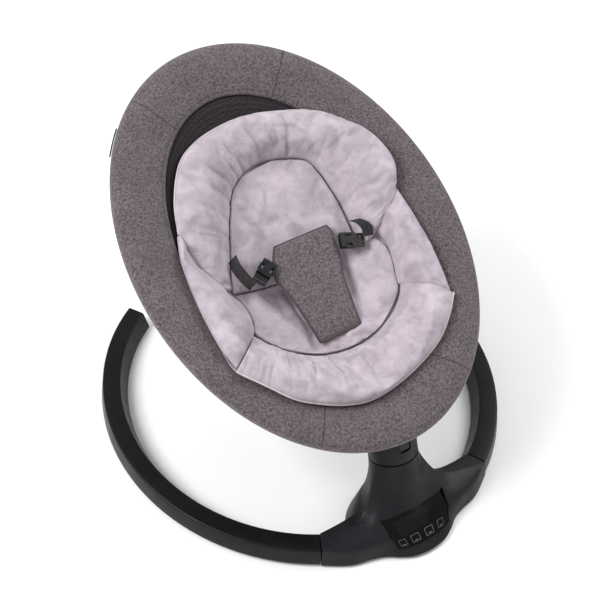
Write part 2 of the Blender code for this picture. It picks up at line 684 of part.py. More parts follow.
LOW_OUTER = [(-0.191, -0.152), (-0.159, -0.186), (-0.133, -0.216), (-0.107, -0.234), (-0.065, -0.254),
             (-0.020, -0.263), (0.044, -0.254), (0.105, -0.232), (0.142, -0.205), (0.166, -0.180)]
LOW_INNER = [(-0.124, -0.107), (-0.108, -0.122), (-0.090, -0.138), (-0.064, -0.156), (-0.036, -0.169),
             (0.001, -0.177), (0.045, -0.178), (0.090, -0.162), (0.114, -0.142), (0.126, -0.127)]


def pad_between(name, inner, outer, thickness, mats, seat, along=14, across=6):
    """A plain closed pad on the bowl between two edge curves."""
    inner_curve, outer_curve = spline(inner, along), spline(outer, along)
    top, bottom = [], []
    for k in range(along + 1):
        end = math.sin(math.pi * min(max(k / along, 0.04), 0.96)) ** 0.30
        top_row, bottom_row = [], []
        for c in range(across + 1):
            v = c / across
            spot = inner_curve[k].lerp(outer_curve[k], v)
            crown = math.sin(math.pi * (0.10 + 0.80 * v)) ** 0.6
            base = bowl_height(spot.x, spot.y) + INSERT_LIFT
            top_row.append((spot.x, spot.y, base + thickness * crown * end))
            bottom_row.append((spot.x, spot.y, base))
        top.append(top_row)
        bottom.append(bottom_row)
    sheet_solid(name, top, bottom, mats["velour"], **seat)


def make_insert(mats, seat):
    pad_between("head_bolster", HEAD_INNER, HEAD_OUTER, 0.030, mats, seat, along=32)
    pad_between("lower_bolster", LOW_INNER, LOW_OUTER, 0.030, mats, seat, along=22)
    pad_between("side_wing_left", WING_LEFT_INNER, WING_LEFT_OUTER, 0.026, mats, seat, along=10)
    pad_between("side_wing_right", WING_RIGHT_INNER, WING_RIGHT_OUTER, 0.026, mats, seat, along=8)
    pad_between("back_pad", BACK_LEFT, BACK_RIGHT, 0.018, mats, seat, along=12, across=10)
    pad_between("seat_pad", SEAT_LEFT, SEAT_RIGHT, 0.014, mats, seat, along=14, across=10)


def make_crotch_pad(mats, seat):
    rows = [(-0.146, 0.010, 0.036, -0.0685), (-0.110, 0.011, 0.040, -0.0660),
            (-0.070, 0.012, 0.046, -0.0640), (-0.035, 0.014, 0.054, -0.0620),
            (-0.008, 0.020, 0.052, -0.0600), (0.010, 0.024, 0.046, -0.0600)]
    across = 6
    top, bottom = [], []
    for s, middle, half, height in rows:
        places = [middle + half * (2 * c / across - 1) for c in range(across + 1)]
        top.append([(x, s, height + 0.0035) for x in places])
        bottom.append([(x, s, height - 0.0035) for x in places])
    sheet_solid("crotch_pad", top, bottom, mats["pad"], **seat)


def strap(name, path, half_width, across, mats, seat):
    """Flat webbing along a path, its width along one fixed direction."""
    across = Vector(across).normalized() * half_width
    points = spline(path, 8)
    top, bottom = [], []
    for k, point in enumerate(points):
        run = points[min(k + 1, len(points) - 1)] - points[max(k - 1, 0)]
        normal = run.cross(across).normalized() * 0.0008
        top.append([point - across + normal, point + across + normal])
        bottom.append([point - across - normal, point + across - normal])
    sheet_solid(name, top, bottom, mats["webbing"], **seat)


def make_buckle(word, place, turn, mats, parent):
    """Side-release buckle; local +X runs from the crotch pad out to the waist strap."""
    here = frame_empty("buckle_frame_" + word, place, 0.0, parent, turn)
    outline = [(-0.012, -0.0115), (-0.0045, -0.0115), (-0.0045, -0.0060), (0.0055, -0.0060),
               (0.0055, -0.0115), (0.0125, -0.0115), (0.0125, 0.0115), (0.0055, 0.0115),
               (0.0055, 0.0060), (-0.0045, 0.0060), (-0.0045, 0.0115), (-0.012, 0.0115)]
    socket = prism("buckle_socket_" + word, outline, -0.0052, 0.0052, mats["buckle"], parent=here)
    cavity = box("buckle_cavity_tool_" + word, (-0.002, -0.0036, -0.0022), (0.020, 0.0036, 0.0022),
                 mats["buckle"], parent=here)
    boolean(socket, cavity, "DIFFERENCE")
    blade = [(0.0, -0.0031), (0.0130, -0.0031), (0.0130, -0.0110), (0.0270, -0.0110),
             (0.0270, 0.0110), (0.0130, 0.0110), (0.0130, 0.0031), (0.0, 0.0031)]
    tongue = prism("buckle_tongue_" + word, blade, -0.0018, 0.0018, mats["buckle"], parent=here)
    slot = box("buckle_slot_tool_" + word, (0.0205, -0.0085, -0.004), (0.0235, 0.0085, 0.004),
               mats["buckle"], parent=here)
    boolean(tongue, slot, "DIFFERENCE")
    for edge, side in (("a", -1), ("b", 1)):
        low, high = sorted((side * 0.0085, side * 0.0128))
        box("buckle_release_%s_%s" % (word, edge), (-0.0042, low - side * 0.0107, -0.0034),
            (0.0052, high - side * 0.0107, 0.0034), mats["buckle"], 0.0005, parent=here,
            location=(0, side * 0.0107, 0))


def make_harness(mats, seat, offset):
    make_crotch_pad(mats, seat)
    seat_frame = frame_empty("harness_frame", offset, 0.0, seat["parent"])
    make_buckle("left", (-0.0520, -0.0165, -0.0520), math.radians(213), mats, seat_frame)
    make_buckle("right", (0.0885, -0.0245, -0.0520), math.radians(-20), mats, seat_frame)
    strap("waist_strap_left", [(-0.0838, -0.0330, -0.0520), (-0.0900, -0.0200, -0.0500),
                               (-0.0935, 0.0020, -0.0520), (-0.0900, 0.0200, -0.0580)],
          0.0085, (0.9, 0.35, 0.3), mats, seat)
    strap("waist_strap_right", [(0.1190, -0.0330, -0.0430), (0.1215, -0.0230, -0.0380),
                                (0.1190, -0.0120, -0.0370), (0.1130, -0.0010, -0.0430)],
          0.0085, (0.75, -0.30, 0.45), mats, seat)


# ---------------------------------------------------------------- assembly
def build():
    clear_scene()
    mats = make_materials()
    datum = frame_empty("datum", (0, DATUM_SHIFT, 0))
    make_housing_shell(mats)
    make_bottom_cover(mats)
    make_panel_lens(mats)
    make_electronics(mats)
    make_housing_screws(mats)
    for word, side in (("left", -1), ("right", 1)):
        make_arm(side, "base_arm_" + word, mats)
        make_arm_end_cap(side, "arm_end_cap_" + word, mats)
        make_arm_joint_bar(side, "arm_joint_bar_" + word, mats)
    make_feet(mats)

    swing_axis = frame_empty("swing_axis", NECK_POINT, -SWING_LEAN)
    make_bearing_bracket(mats, swing_axis)
    ball_bearing("upper_bearing", -0.0140, mats, swing_axis)
    ball_bearing("lower_bearing", -0.0620, mats, swing_axis)
    make_drive(mats, swing_axis)
    make_collar(mats, swing_axis)

    lean = Vector((0, math.sin(SWING_LEAN), math.cos(SWING_LEAN)))
    pivot = NECK_POINT + lean * PIVOT_HEIGHT
    recline_axis = frame_empty("recline_axis", pivot, SEAT_TILT)
    offset = Matrix.Rotation(-SEAT_TILT, 3, "X") @ (SEAT_CENTRE - pivot)
    seat = {"parent": recline_axis, "location": offset}
    make_rim_tube("rim_tube_head", math.radians(0.15), math.radians(179.85), mats, seat)
    make_rim_tube("rim_tube_foot", math.radians(180.15), math.radians(359.85), mats, seat)
    make_tube_joiner("tube_joiner_right", 0.0, mats, seat)
    make_tube_joiner("tube_joiner_left", math.pi, mats, seat)
    make_seat_bracket(mats, seat, -offset.y, -offset.z)
    make_cover_band(mats, seat)
    make_sling(mats, seat)
    make_toy_bar_socket("toy_bar_socket_left", math.radians(134.8), mats, seat)
    make_toy_bar_socket("toy_bar_socket_right", math.radians(45.2), mats, seat)
    make_insert(mats, seat)
    make_harness(mats, seat, offset)

    for item in bpy.data.objects:
        if item.parent is None and item is not datum:
            item.parent = datum


build()
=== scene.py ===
"""Electric baby swing: the finished look of the object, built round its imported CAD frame.

Metres, +Z up, the control panel towards -Y.  The sections follow the object as it is put together:
view and studio, floor ring, motor housing, drive, neck, seat frame, seat cloth, insert, harness.
"""

import json
import math

import bmesh
import bpy
import numpy as np
from mathutils import Matrix, Vector
from mathutils.bvhtree import BVHTree


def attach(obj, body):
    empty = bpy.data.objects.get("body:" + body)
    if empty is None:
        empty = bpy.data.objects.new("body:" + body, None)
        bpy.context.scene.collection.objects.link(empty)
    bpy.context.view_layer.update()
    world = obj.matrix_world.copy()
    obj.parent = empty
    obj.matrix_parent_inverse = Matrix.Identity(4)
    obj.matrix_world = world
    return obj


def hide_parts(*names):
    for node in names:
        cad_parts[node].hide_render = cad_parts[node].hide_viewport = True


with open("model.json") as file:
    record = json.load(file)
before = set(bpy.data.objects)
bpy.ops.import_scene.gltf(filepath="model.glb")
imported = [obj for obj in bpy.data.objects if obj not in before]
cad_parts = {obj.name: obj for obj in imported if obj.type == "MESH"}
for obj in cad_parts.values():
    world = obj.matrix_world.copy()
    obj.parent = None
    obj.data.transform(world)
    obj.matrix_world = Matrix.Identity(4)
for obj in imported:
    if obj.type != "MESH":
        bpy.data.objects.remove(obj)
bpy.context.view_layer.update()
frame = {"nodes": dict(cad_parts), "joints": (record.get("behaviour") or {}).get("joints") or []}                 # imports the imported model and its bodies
nodes = frame["nodes"]


# ================================================================ view
# The whole swing seen from the front left and above, as a shopper stands over it.
# A long lens keeps the ring and the seat rim in their true proportions.
LENS_MM = 71.43
VIEW_TARGET = Vector((0.0, 0.0443, 0.275))
VIEW_FROM = Vector((-0.733, -1.0297, 1.521))
VIEW_ROLL = -0.0391

camera_data = bpy.data.cameras.new("view")
camera_data.lens = LENS_MM
camera_data.sensor_width = 36.0
camera_data.shift_x, camera_data.shift_y = 0.010, -0.065
camera = bpy.data.objects.new("view", camera_data)
bpy.context.scene.collection.objects.link(camera)
forward = (VIEW_TARGET - VIEW_FROM).normalized()
level_right = forward.cross(Vector((0, 0, 1))).normalized()
level_up = level_right.cross(forward)
right = level_right * math.cos(VIEW_ROLL) - level_up * math.sin(VIEW_ROLL)
up = level_right * math.sin(VIEW_ROLL) + level_up * math.cos(VIEW_ROLL)
camera.matrix_world = Matrix.Translation(VIEW_FROM) @ Matrix((right, up, -forward)).transposed().to_4x4()
bpy.context.scene.camera = camera


# ================================================================ studio
# A plain pale paper floor and two broad soft boxes, so that dark plastic shows soft highlights
# and the cloth shows its pile.
def linear(hex_colour):
    """sRGB hex colour as linear RGBA."""
    channels = [int(hex_colour[i:i + 2], 16) / 255 for i in (1, 3, 5)]
    return tuple(c / 12.92 if c <= 0.04045 else ((c + 0.055) / 1.055) ** 2.4 for c in channels) + (1.0,)


def add(tree, kind, settings=(), links=()):
    """Adds a node; a setting is a node property or an input's name or number."""
    node = tree.nodes.new(kind)
    for key, value in dict(settings).items():
        if isinstance(key, int) or key in node.inputs:
            node.inputs[key].default_value = value
        else:
            setattr(node, key, value)
    for key, source in dict(links).items():
        tree.links.new(source, node.inputs[key])
    return node


def begin(name, colour, roughness, **inputs):
    """A new material with its surface values set; returns it with its tree, shader and place."""
    material = bpy.data.materials.new(name)
    material.use_nodes = True
    tree = material.node_tree
    shader = tree.nodes["Principled BSDF"]
    values = {"Base Color": linear(colour), "Roughness": roughness}
    values.update({key.replace("_", " "): value for key, value in inputs.items()})
    for key, value in values.items():
        shader.inputs[key].default_value = value
    place = add(tree, "ShaderNodeTexCoord").outputs["Object"]
    return material, tree, shader, place


def mottle(tree, shader, place, low, high, scale, detail=4.0):
    """Lets the base colour drift between two hex colours in soft patches of the given size."""
    cloud = add(tree, "ShaderNodeTexNoise", {"Scale": 1.0 / scale, "Detail": detail}, {"Vector": place})
    spread = add(tree, "ShaderNodeMapRange", {"From Min": 0.35, "From Max": 0.65},
                 {"Value": cloud.outputs["Fac"]})
    tint = add(tree, "ShaderNodeMix", {"data_type": "RGBA", 6: linear(low), 7: linear(high)},
               {0: spread.outputs["Result"]})
    tree.links.new(tint.outputs[2], shader.inputs["Base Color"])


def grain(tree, shader, place, scale, height, strength=1.0):
    """Fine moulded or fibrous texture in the normal, its grain size and height in metres."""
    noise = add(tree, "ShaderNodeTexNoise", {"Scale": 1.0 / scale, "Detail": 3.0}, {"Vector": place})
    bump = add(tree, "ShaderNodeBump", {"Strength": strength, "Distance": height},
               {"Height": noise.outputs["Fac"]})
    tree.links.new(bump.outputs["Normal"], shader.inputs["Normal"])


def wear(tree, shader, place, low, high, scale):
    """Roughness that drifts between two values, as handling leaves it."""
    cloud = add(tree, "ShaderNodeTexNoise", {"Scale": 1.0 / scale, "Detail": 5.0}, {"Vector": place})
    spread = add(tree, "ShaderNodeMapRange",
                 {"From Min": 0.3, "From Max": 0.7, "To Min": low, "To Max": high},
                 {"Value": cloud.outputs["Fac"]})
    tree.links.new(spread.outputs["Result"], shader.inputs["Roughness"])


def mesh_object(name, points, faces, material, smooth_angle=35.0):
    mesh = bpy.data.meshes.new(name)
    mesh.from_pydata([tuple(p) for p in points], [], faces)
    mesh.materials.append(material)
    mesh.validate()
    mesh.shade_smooth()
    mesh.set_sharp_from_angle(angle=math.radians(smooth_angle))
    piece = bpy.data.objects.new(name, mesh)
    bpy.context.scene.collection.objects.link(piece)
    return piece


paper, tree, shader, place = begin("matt_studio_paper", "#fbfbfb", 0.9)
mottle(tree, shader, place, "#fafafa", "#fcfcfc", 0.20)
floor = mesh_object("studio_floor", [(-6, -6, 0), (6, -6, 0), (6, 6, 0), (-6, 6, 0)], [(0, 1, 2, 3)],
                    paper)

sky = bpy.data.worlds.new("studio_air")
sky.use_nodes = True
sky.node_tree.nodes["Background"].inputs["Color"].default_value = linear("#ffffff")
sky.node_tree.nodes["Background"].inputs["Strength"].default_value = 0.62
bpy.context.scene.world = sky
bpy.context.scene.view_settings.view_transform = "Standard"    # tones as the colour values give them


def paint(material, *cad_nodes):
    """Gives a finished material to CAD pieces that keep their own shape."""
    for name in cad_nodes:
        nodes[name].material_slots[0].material = material


def soft_box(name, place, size, power):
    lamp = bpy.data.lights.new(name, "AREA")
    lamp.shape = "RECTANGLE"
    lamp.size, lamp.size_y = size
    lamp.energy = power
    piece = bpy.data.objects.new(name, lamp)
    piece.location = place
    piece.rotation_euler = (Vector((0, 0, 0.2)) - Vector(place)).to_track_quat("-Z", "Y").to_euler()
    bpy.context.scene.collection.objects.link(piece)


soft_box("key_soft_box", (-1.9, 0.4, 2.2), (1.2, 1.2), 66)
soft_box("right_soft_box", (1.9, -0.1, 2.0), (1.1, 1.1), 32)


# ================================================================ floor ring
# Two hollow mouldings in satin black ABS bend round from the motor housing and stay open at the
# back.  The section is a low trapezium with a broad flat top and a sloping outer face.
ABS_WALL = 0.003
swing_joint = next(j for j in frame["joints"] if j["name"] == "swing_pivot")
neck_point = Vector(swing_joint["pos_m"])
swing_axis = Vector(swing_joint["axis"]).normalized()
RING_Y = neck_point.y + 0.2486    # centre of the ring behind the neck joint
RING_STRETCH = 1.0614
RING_CORNERS = [(0.2763, 0.0055), (0.3190, 0.0055), (0.3150, 0.0356), (0.2874, 0.0356)]
RING_ROUNDING = [0.0022, 0.0030, 0.0034, 0.0034]
SEAM_ANGLE = math.radians(28.9)
TIP_ANGLE = math.radians(147.9)


def rounded(corners, radii, steps=5):
    """A polygon with its corners rounded."""
    outline = []
    count = len(corners)
    for i in range(count):
        here = Vector(corners[i])
        before = (Vector(corners[i - 1]) - here).normalized()
        after = (Vector(corners[(i + 1) % count]) - here).normalized()
        half = before.angle(after) / 2
        reach = radii[i] / math.tan(half)
        start, end = here + before * reach, here + after * reach
        for k in range(steps + 1):
            t = k / steps
            outline.append(start * (1 - t) ** 2 + here * (2 * t * (1 - t)) + end * t * t)
    return outline


def ring_section(side, profile, angle):
    return [Vector((side * p.x * math.sin(angle), RING_Y - RING_STRETCH * p.x * math.cos(angle), p.y))
            for p in profile]


def tube_faces(count, rings, looped=False):
    """Quads between neighbouring rings of points, each ring count points long."""
    faces = []
    for r in range(rings if looped else rings - 1):
        a, b = r * count, (r + 1) % rings * count
        faces += [(a + i, a + (i + 1) % count, b + (i + 1) % count, b + i) for i in range(count)]
    return faces


def slab_faces(cols, rows):
    """Faces of a closed slab: a top grid of points, an equal grid under it and the wall between."""
    faces, per = [], rows * cols
    for r in range(rows - 1):
        for c in range(cols - 1):
            a = r * cols + c
            quad = (a, a + 1, a + cols + 1, a + cols)
            faces += [quad, tuple(per + i for i in reversed(quad))]
    border = list(range(cols)) + [r * cols + cols - 1 for r in range(1, rows)]
    border += [(rows - 1) * cols + c for c in range(cols - 2, -1, -1)]
    border += [r * cols for r in range(rows - 2, 0, -1)]
    return faces + [(a, b, per + b, per + a) for a, b in zip(border, border[1:] + border[:1])]


def loft(name, rings, material, looped=False, smooth_angle=35.0):
    """Skins closed rings of points and closes both ends, or joins the last ring to the first."""
    count = len(rings[0])
    points = [p for ring in rings for p in ring]
    faces = tube_faces(count, len(rings), looped)
    if not looped:
        faces += [tuple(range(count)), tuple(range((len(rings) - 1) * count, len(rings) * count))]
    piece = mesh_object(name, points, faces, material, smooth_angle)
    face_outwards(piece, smooth_angle)
    return piece


def face_outwards(piece, smooth_angle=35.0):
    bm = bmesh.new()
    bm.from_mesh(piece.data)
    bmesh.ops.recalc_face_normals(bm, faces=bm.faces)
    bm.to_mesh(piece.data)
    bm.free()
    piece.data.shade_smooth()
    piece.data.set_sharp_from_angle(angle=math.radians(smooth_angle))


# Satin moulded ABS: spark-eroded texture of about 0.5 mm grain, drawn at 0.9 mm so that it shows,
# its gloss drifting a little as handling leaves it.
satin_abs, tree, shader, place = begin("satin_black_moulded_abs", "#121112", 0.40, IOR=1.46,
                                       Specular_IOR_Level=0.20)
mottle(tree, shader, place, "#100f10", "#151415", 0.035)
grain(tree, shader, place, 0.0009, 0.00004, 0.6)
wear(tree, shader, place, 0.31, 0.42, 0.025)

ring_profile = rounded(RING_CORNERS, RING_ROUNDING)
for word, side in (("left", -1), ("right", 1)):
    spans = 110
    angles = [SEAM_ANGLE + 0.0007 + (TIP_ANGLE - SEAM_ANGLE - 0.0007) * k / spans
              for k in range(spans + 1)]
    arm = loft("ring_arm_" + word, [ring_section(side, ring_profile, a) for a in angles], satin_abs)
    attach(arm, "base")                        # stands still on the floor
    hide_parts("base_arm_" + word)        # stands for the CAD arm

    # The plug that closes the open end, its outer edge softly rounded.
    end_rings = []
    for turn, shrink in ((0.0013, 0.0), (0.0070, 0.0), (0.0085, 0.0010), (0.0094, 0.0028)):
        corners = []
        centre = sum((Vector(c) for c in RING_CORNERS), Vector((0, 0))) / 4
        for corner in RING_CORNERS:
            inward = centre - Vector(corner)
            corners.append(Vector(corner) + inward.normalized() * shrink)
        end_rings.append(ring_section(side, rounded(corners, RING_ROUNDING), TIP_ANGLE + turn))
    cap = loft("ring_end_cap_" + word, end_rings, satin_abs)
    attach(cap, "base")
    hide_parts("arm_end_cap_" + word)

# Moulded black rubber pads under the ring, dull and a little dusty.
foot_rubber, tree, shader, place = begin("moulded_foot_rubber", "#202020", 0.86, IOR=1.52)
mottle(tree, shader, place, "#1c1c1c", "#282726", 0.008)
grain(tree, shader, place, 0.0006, 0.00006)
paint(foot_rubber, "foot_front", "foot_middle_left", "foot_middle_right", "foot_rear_left",
      "foot_rear_right")

# Zinc-plated steel bars that join each arm to the housing from inside: grey with a faint drift.
zinc_steel, tree, shader, place = begin("zinc_plated_steel", "#b9bcc0", 0.32, Metallic=1.0)
mottle(tree, shader, place, "#aeb1b6", "#c4c6c8", 0.006)
grain(tree, shader, place, 0.0004, 0.00002)
wear(tree, shader, place, 0.26, 0.42, 0.008)
paint(zinc_steel, "arm_joint_bar_left", "arm_joint_bar_right")


# ================================================================ motor housing
# One large moulding in charcoal ABS with a fine matt texture.  It starts as a broad nose between
# the two arms and sweeps up into a round neck that leans back; a shallow pocket takes the panel.
def around(offsets):
    """Plan points given from the neck joint."""
    return [(x, y + neck_point.y) for x, y in offsets]


FOOT_FRONT = around([(0, -0.1123), (0.026, -0.1090), (0.047, -0.0990), (0.064, -0.0875),
                     (0.084, -0.0800), (0.117, -0.0715), (0.1535, -0.0495)])
SHOULDER_FRONT = around([(0, -0.0760), (0.028, -0.0765), (0.048, -0.0780), (0.064, -0.0785),
                         (0.085, -0.0745), (0.115, -0.0640), (0.1515, -0.0457)])
FOOT_BACK = around([(0.1325, -0.0080), (0.108, -0.0185), (0.088, -0.0110), (0.068, 0.0090),
                    (0.038, 0.0255), (0, 0.0310)])
SHOULDER_BACK = around([(0.138, -0.0185), (0.112, -0.0280), (0.090, -0.0230), (0.068, -0.0060),
                        (0.037, 0.0185), (0, 0.0285)])
# Each ray: how fast it turns up to the neck, the share of it that lies along the arm first, and
# the angle at which it meets the neck.
RAY_FRONT = [(5.0, 0.0, -90), (5.0, 0.0, -68), (4.3, 0.03, -50), (3.7, 0.10, -38),
             (3.1, 0.22, -27), (1.9, 0.52, -17), (1.45, 0.64, -9)]
RAY_BACK = [(1.45, 0.64, -3), (1.45, 0.60, 6), (1.6, 0.50, 16), (1.8, 0.30, 30), (1.6, 0.08, 58),
            (1.6, 0.0, 90)]
SPREAD_FLARE = 14                 # how fast the part that lies along the arms turns up
HOUSING_BOTTOM, LIP_TOP, SHOULDER_Z = 0.0045, 0.0075, 0.0356
NECK_RADIUS, NECK_HOLE_RADIUS = 0.0372, 0.0165
shoulder_axis = Vector((0, neck_point.y - 0.0287, SHOULDER_Z))
neck_lean = Vector((0, 0, 1)).rotation_difference(swing_axis).to_matrix()


def spline(points, count):
    """Smooth curve through the points, count spans evenly by index."""
    points = [Vector(p) for p in points]
    ends = [points[0] * 2 - points[1]] + points + [points[-1] * 2 - points[-2]]
    curve = []
    for k in range(count + 1):
        position = k / count * (len(points) - 1)
        i = min(int(position), len(points) - 2)
        t = position - i
        a, b, c, d = ends[i:i + 4]
        curve.append(0.5 * (2 * b + (c - a) * t + (2 * a - 5 * b + 4 * c - d) * t ** 2
                            + (3 * b - a - 3 * c + d) * t ** 3))
    return curve


def mirrored(half):
    return [(-x, y) for x, y in reversed(half[1:])] + list(half)


def front_columns(spans):
    rays = [(flare, spread, -180 - angle) for flare, spread, angle in RAY_FRONT[:0:-1]] + RAY_FRONT
    curves = (spline(mirrored(FOOT_FRONT), spans), spline(mirrored(SHOULDER_FRONT), spans),
              spline(rays, spans))
    return list(zip(*curves))


def back_columns(spans):
    foot = FOOT_BACK + [(-x, y) for x, y in FOOT_BACK[-2::-1]]
    shoulder = SHOULDER_BACK + [(-x, y) for x, y in SHOULDER_BACK[-2::-1]]
    rays = RAY_BACK + [(flare, spread, 180 - angle) for flare, spread, angle in RAY_BACK[-2::-1]]
    curves = (spline(foot, spans), spline(shoulder, spans), spline(rays, spans))
    return list(zip(*curves))


def seam_columns(first, last, spans):
    sweep = Vector((0, 0, (last[2].z - first[2].z) % 360 - (last[2].z - first[2].z)))
    columns = []
    for k in range(1, spans):
        t = k / spans
        columns.append((first[0].lerp(last[0], t), first[1].lerp(last[1], t),
                        first[2].lerp(last[2] + sweep, t)))
    return columns


def housing_point(column, height):
    """Outer surface: height is metres up to the shoulder, then 1 to 2 up to the neck."""
    foot, shoulder, (flare, spread, angle) = column
    if height < 1.0:
        level = max(0.0, (height - LIP_TOP) / (SHOULDER_Z - LIP_TOP))
        flat = foot.lerp(shoulder, level)
        return Vector((flat.x, flat.y, height))
    rise = height - 1.0
    angle = math.radians(angle)
    start = Vector((shoulder.x, shoulder.y, SHOULDER_Z)) - shoulder_axis
    end = neck_lean @ Vector((NECK_RADIUS * math.cos(angle), NECK_RADIUS * math.sin(angle), 0))
    centre = shoulder_axis.lerp(neck_point, rise)
    reach = spread * (1 - rise) ** SPREAD_FLARE + (1 - spread) * (1 - rise) ** flare
    return centre + end + (start - end) * reach


front = front_columns(156)
back = back_columns(96)
right_seam = seam_columns(front[-1], back[0], 9)
left_seam = seam_columns(back[-1], front[0], 9)
columns = front + right_seam + back + left_seam
low_heights = [HOUSING_BOTTOM, 0.0049, 0.0058, LIP_TOP] + [LIP_TOP + (SHOULDER_Z - LIP_TOP) * k / 12
                                                   for k in range(1, 12)]
high_heights = [1 + (k / 40) ** 1.35 for k in range(41)]
surface = np.array([[housing_point(c, h) for c in columns] for h in low_heights + high_heights])

# The shoulder line is crisp where an arm arrives and melts away towards the nose and the back.
softness = []
for i, column in enumerate(columns):
    flank = min(1.0, abs(column[1].x) / 0.14)
    softness.append(0.95 * (1 - flank ** 3.0) + 0.02)
softness = np.array(softness)[:, None]
shoulder_row = len(low_heights)
for sweep in range(26):
    soft = surface.copy()
    for r in range(shoulder_row - 5, shoulder_row + 7):
        soft[r] += softness * 0.5 * ((surface[r - 1] + surface[r + 1]) / 2 - surface[r])
    surface = soft
# The bottom lip turns in with a small radius.
centre_line = surface[0].mean(0)
for r, turn_in in ((0, 0.0010), (1, 0.0003)):
    inward = centre_line - surface[r]
    inward[:, 2] = 0
    surface[r] += inward / np.linalg.norm(inward, axis=1)[:, None] * turn_in
rings = [list(row) for row in surface]
neck = np.array(neck_point)
crown = np.array(swing_axis)
rings.append(list(neck + (surface[-1] - neck) * 0.985 + crown * 0.0003))
rings.append(list(neck + (surface[-1] - neck) * 0.960 + crown * 0.0004))
rings.append(list(neck + (surface[-1] - neck) * (NECK_HOLE_RADIUS / NECK_RADIUS) + crown * 0.0004))
faces = tube_faces(len(columns), len(rings))

# Charcoal ABS with a matt spark texture of about 0.6 mm grain, drawn at 1 mm; soft broad
# highlights, and a gloss that drifts a little.
charcoal_abs, tree, shader, place = begin("matt_charcoal_moulded_abs", "#1a181b", 0.42, IOR=1.46,
                                          Specular_IOR_Level=0.22)
mottle(tree, shader, place, "#17151a", "#1d1b1f", 0.05)
grain(tree, shader, place, 0.0010, 0.00005, 0.7)
wear(tree, shader, place, 0.40, 0.52, 0.03)
shell = mesh_object("motor_housing", [p for ring in rings for p in ring], faces, charcoal_abs, 28)
wall = shell.modifiers.new("moulded_wall", "SOLIDIFY")
wall.thickness = ABS_WALL
wall.offset = -1.0

# The panel's pocket: its outline on the front face, as height and half width in fine columns.
PANEL_COLUMNS = 240
RISE_METRES = 0.079               # metres of height that one unit of rise stands for on the panel
PANEL_ROWS = [(0.0165, 40), (0.0215, 41), (0.0275, 43), (0.0335, 47), (1.025, 52), (1.055, 58),
              (1.10, 67), (1.16, 80)]
panel_columns = front_columns(PANEL_COLUMNS)
panel_curve = spline([(h if h < 1 else SHOULDER_Z + (h - 1) * RISE_METRES, half) for h, half in PANEL_ROWS],
                     28)


def panel_point(across, upward, sink):
    """A point of the panel: across is -1 to 1, upward 0 to 1, sink the depth under the housing."""
    position = min(max(upward, 0.0), 1.0) * (len(panel_curve) - 1)
    i = min(int(position), len(panel_curve) - 2)
    height, half = panel_curve[i].lerp(panel_curve[i + 1], position - i)
    if height > SHOULDER_Z:
        height = 1 + (height - SHOULDER_Z) / RISE_METRES

    def on_surface(column, level):
        column = min(max(column, 0.0), PANEL_COLUMNS - 1.001)
        k = int(column)
        a, b = housing_point(panel_columns[k], level), housing_point(panel_columns[k + 1], level)
        return a.lerp(b, column - k)

    middle = PANEL_COLUMNS / 2 + across * half
    here = on_surface(middle, height)
    along = on_surface(middle + 3, height) - on_surface(middle - 3, height)
    rise = 0.03 if height > 1 else 0.002
    normal = along.cross(on_surface(middle, height + rise) - here).normalized()
    return here - normal * sink


def panel_depth(across, upward):
    return 0.0003 + (0.0010 + 0.0026 * abs(across) ** 2.5) * upward ** 0.7


def panel_slab(name, grow, top_sink, bottom_sink, material, nx=44, ny=28, smooth_angle=30):
    """A curved slab over the panel's outline; the sinks are functions of place."""
    points = []
    for sink in (top_sink, bottom_sink):
        for r in range(ny + 1):
            for c in range(nx + 1):
                across = (2 * c / nx - 1) * grow
                upward = 0.5 + (r / ny - 0.5) * grow
                points.append(panel_point(across, upward, sink(across, upward)))
    piece = mesh_object(name, points, slab_faces(nx + 1, ny + 1), material, smooth_angle)
    face_outwards(piece, smooth_angle)
    return piece


pocket_tool = panel_slab("panel_pocket_tool", 1.0, lambda u, v: -0.006,
                         lambda u, v: panel_depth(u, v) + 0.0014, charcoal_abs)


def carve(piece, tools, material, smooth_angle):
    """Cuts the tools out of the piece, applies its modifiers and removes the tools."""
    for tool in tools:
        cut = piece.modifiers.new("cut", "BOOLEAN")
        cut.operation, cut.solver, cut.object = "DIFFERENCE", "EXACT", tool
    bpy.context.view_layer.update()
    evaluated = piece.evaluated_get(bpy.context.evaluated_depsgraph_get())
    final_mesh = bpy.data.meshes.new_from_object(evaluated)
    piece.modifiers.clear()
    piece.data = final_mesh
    piece.data.materials.clear()
    piece.data.materials.append(material)
    piece.data.shade_smooth()
    piece.data.set_sharp_from_angle(angle=math.radians(smooth_angle))
    for tool in tools:
        bpy.data.objects.remove(tool)


carve(shell, [pocket_tool], charcoal_abs, 28)
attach(shell, "base")
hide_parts("housing_shell")             # stands for the CAD housing

# Smoked acrylic panel cover, polished: near black with faint clear reflections.
smoked_acrylic, tree, shader, place = begin("polished_smoked_acrylic", "#060606", 0.05, IOR=1.49,
                                            Specular_IOR_Level=0.16)
mottle(tree, shader, place, "#050506", "#09090a", 0.02)
wear(tree, shader, place, 0.035, 0.10, 0.012)
lens = panel_slab("panel_cover", 0.992, panel_depth, lambda u, v: panel_depth(u, v) + 0.0012,
                  smoked_acrylic)
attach(lens, "base")
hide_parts("panel_lens")

# The display's dull window shows through as a slightly browner field in the upper left.
display_film, tree, shader, place = begin("matt_display_film", "#0b0909", 0.22, IOR=1.5,
                                         Specular_IOR_Level=0.20)
mottle(tree, shader, place, "#0a0808", "#0f0c0c", 0.01)


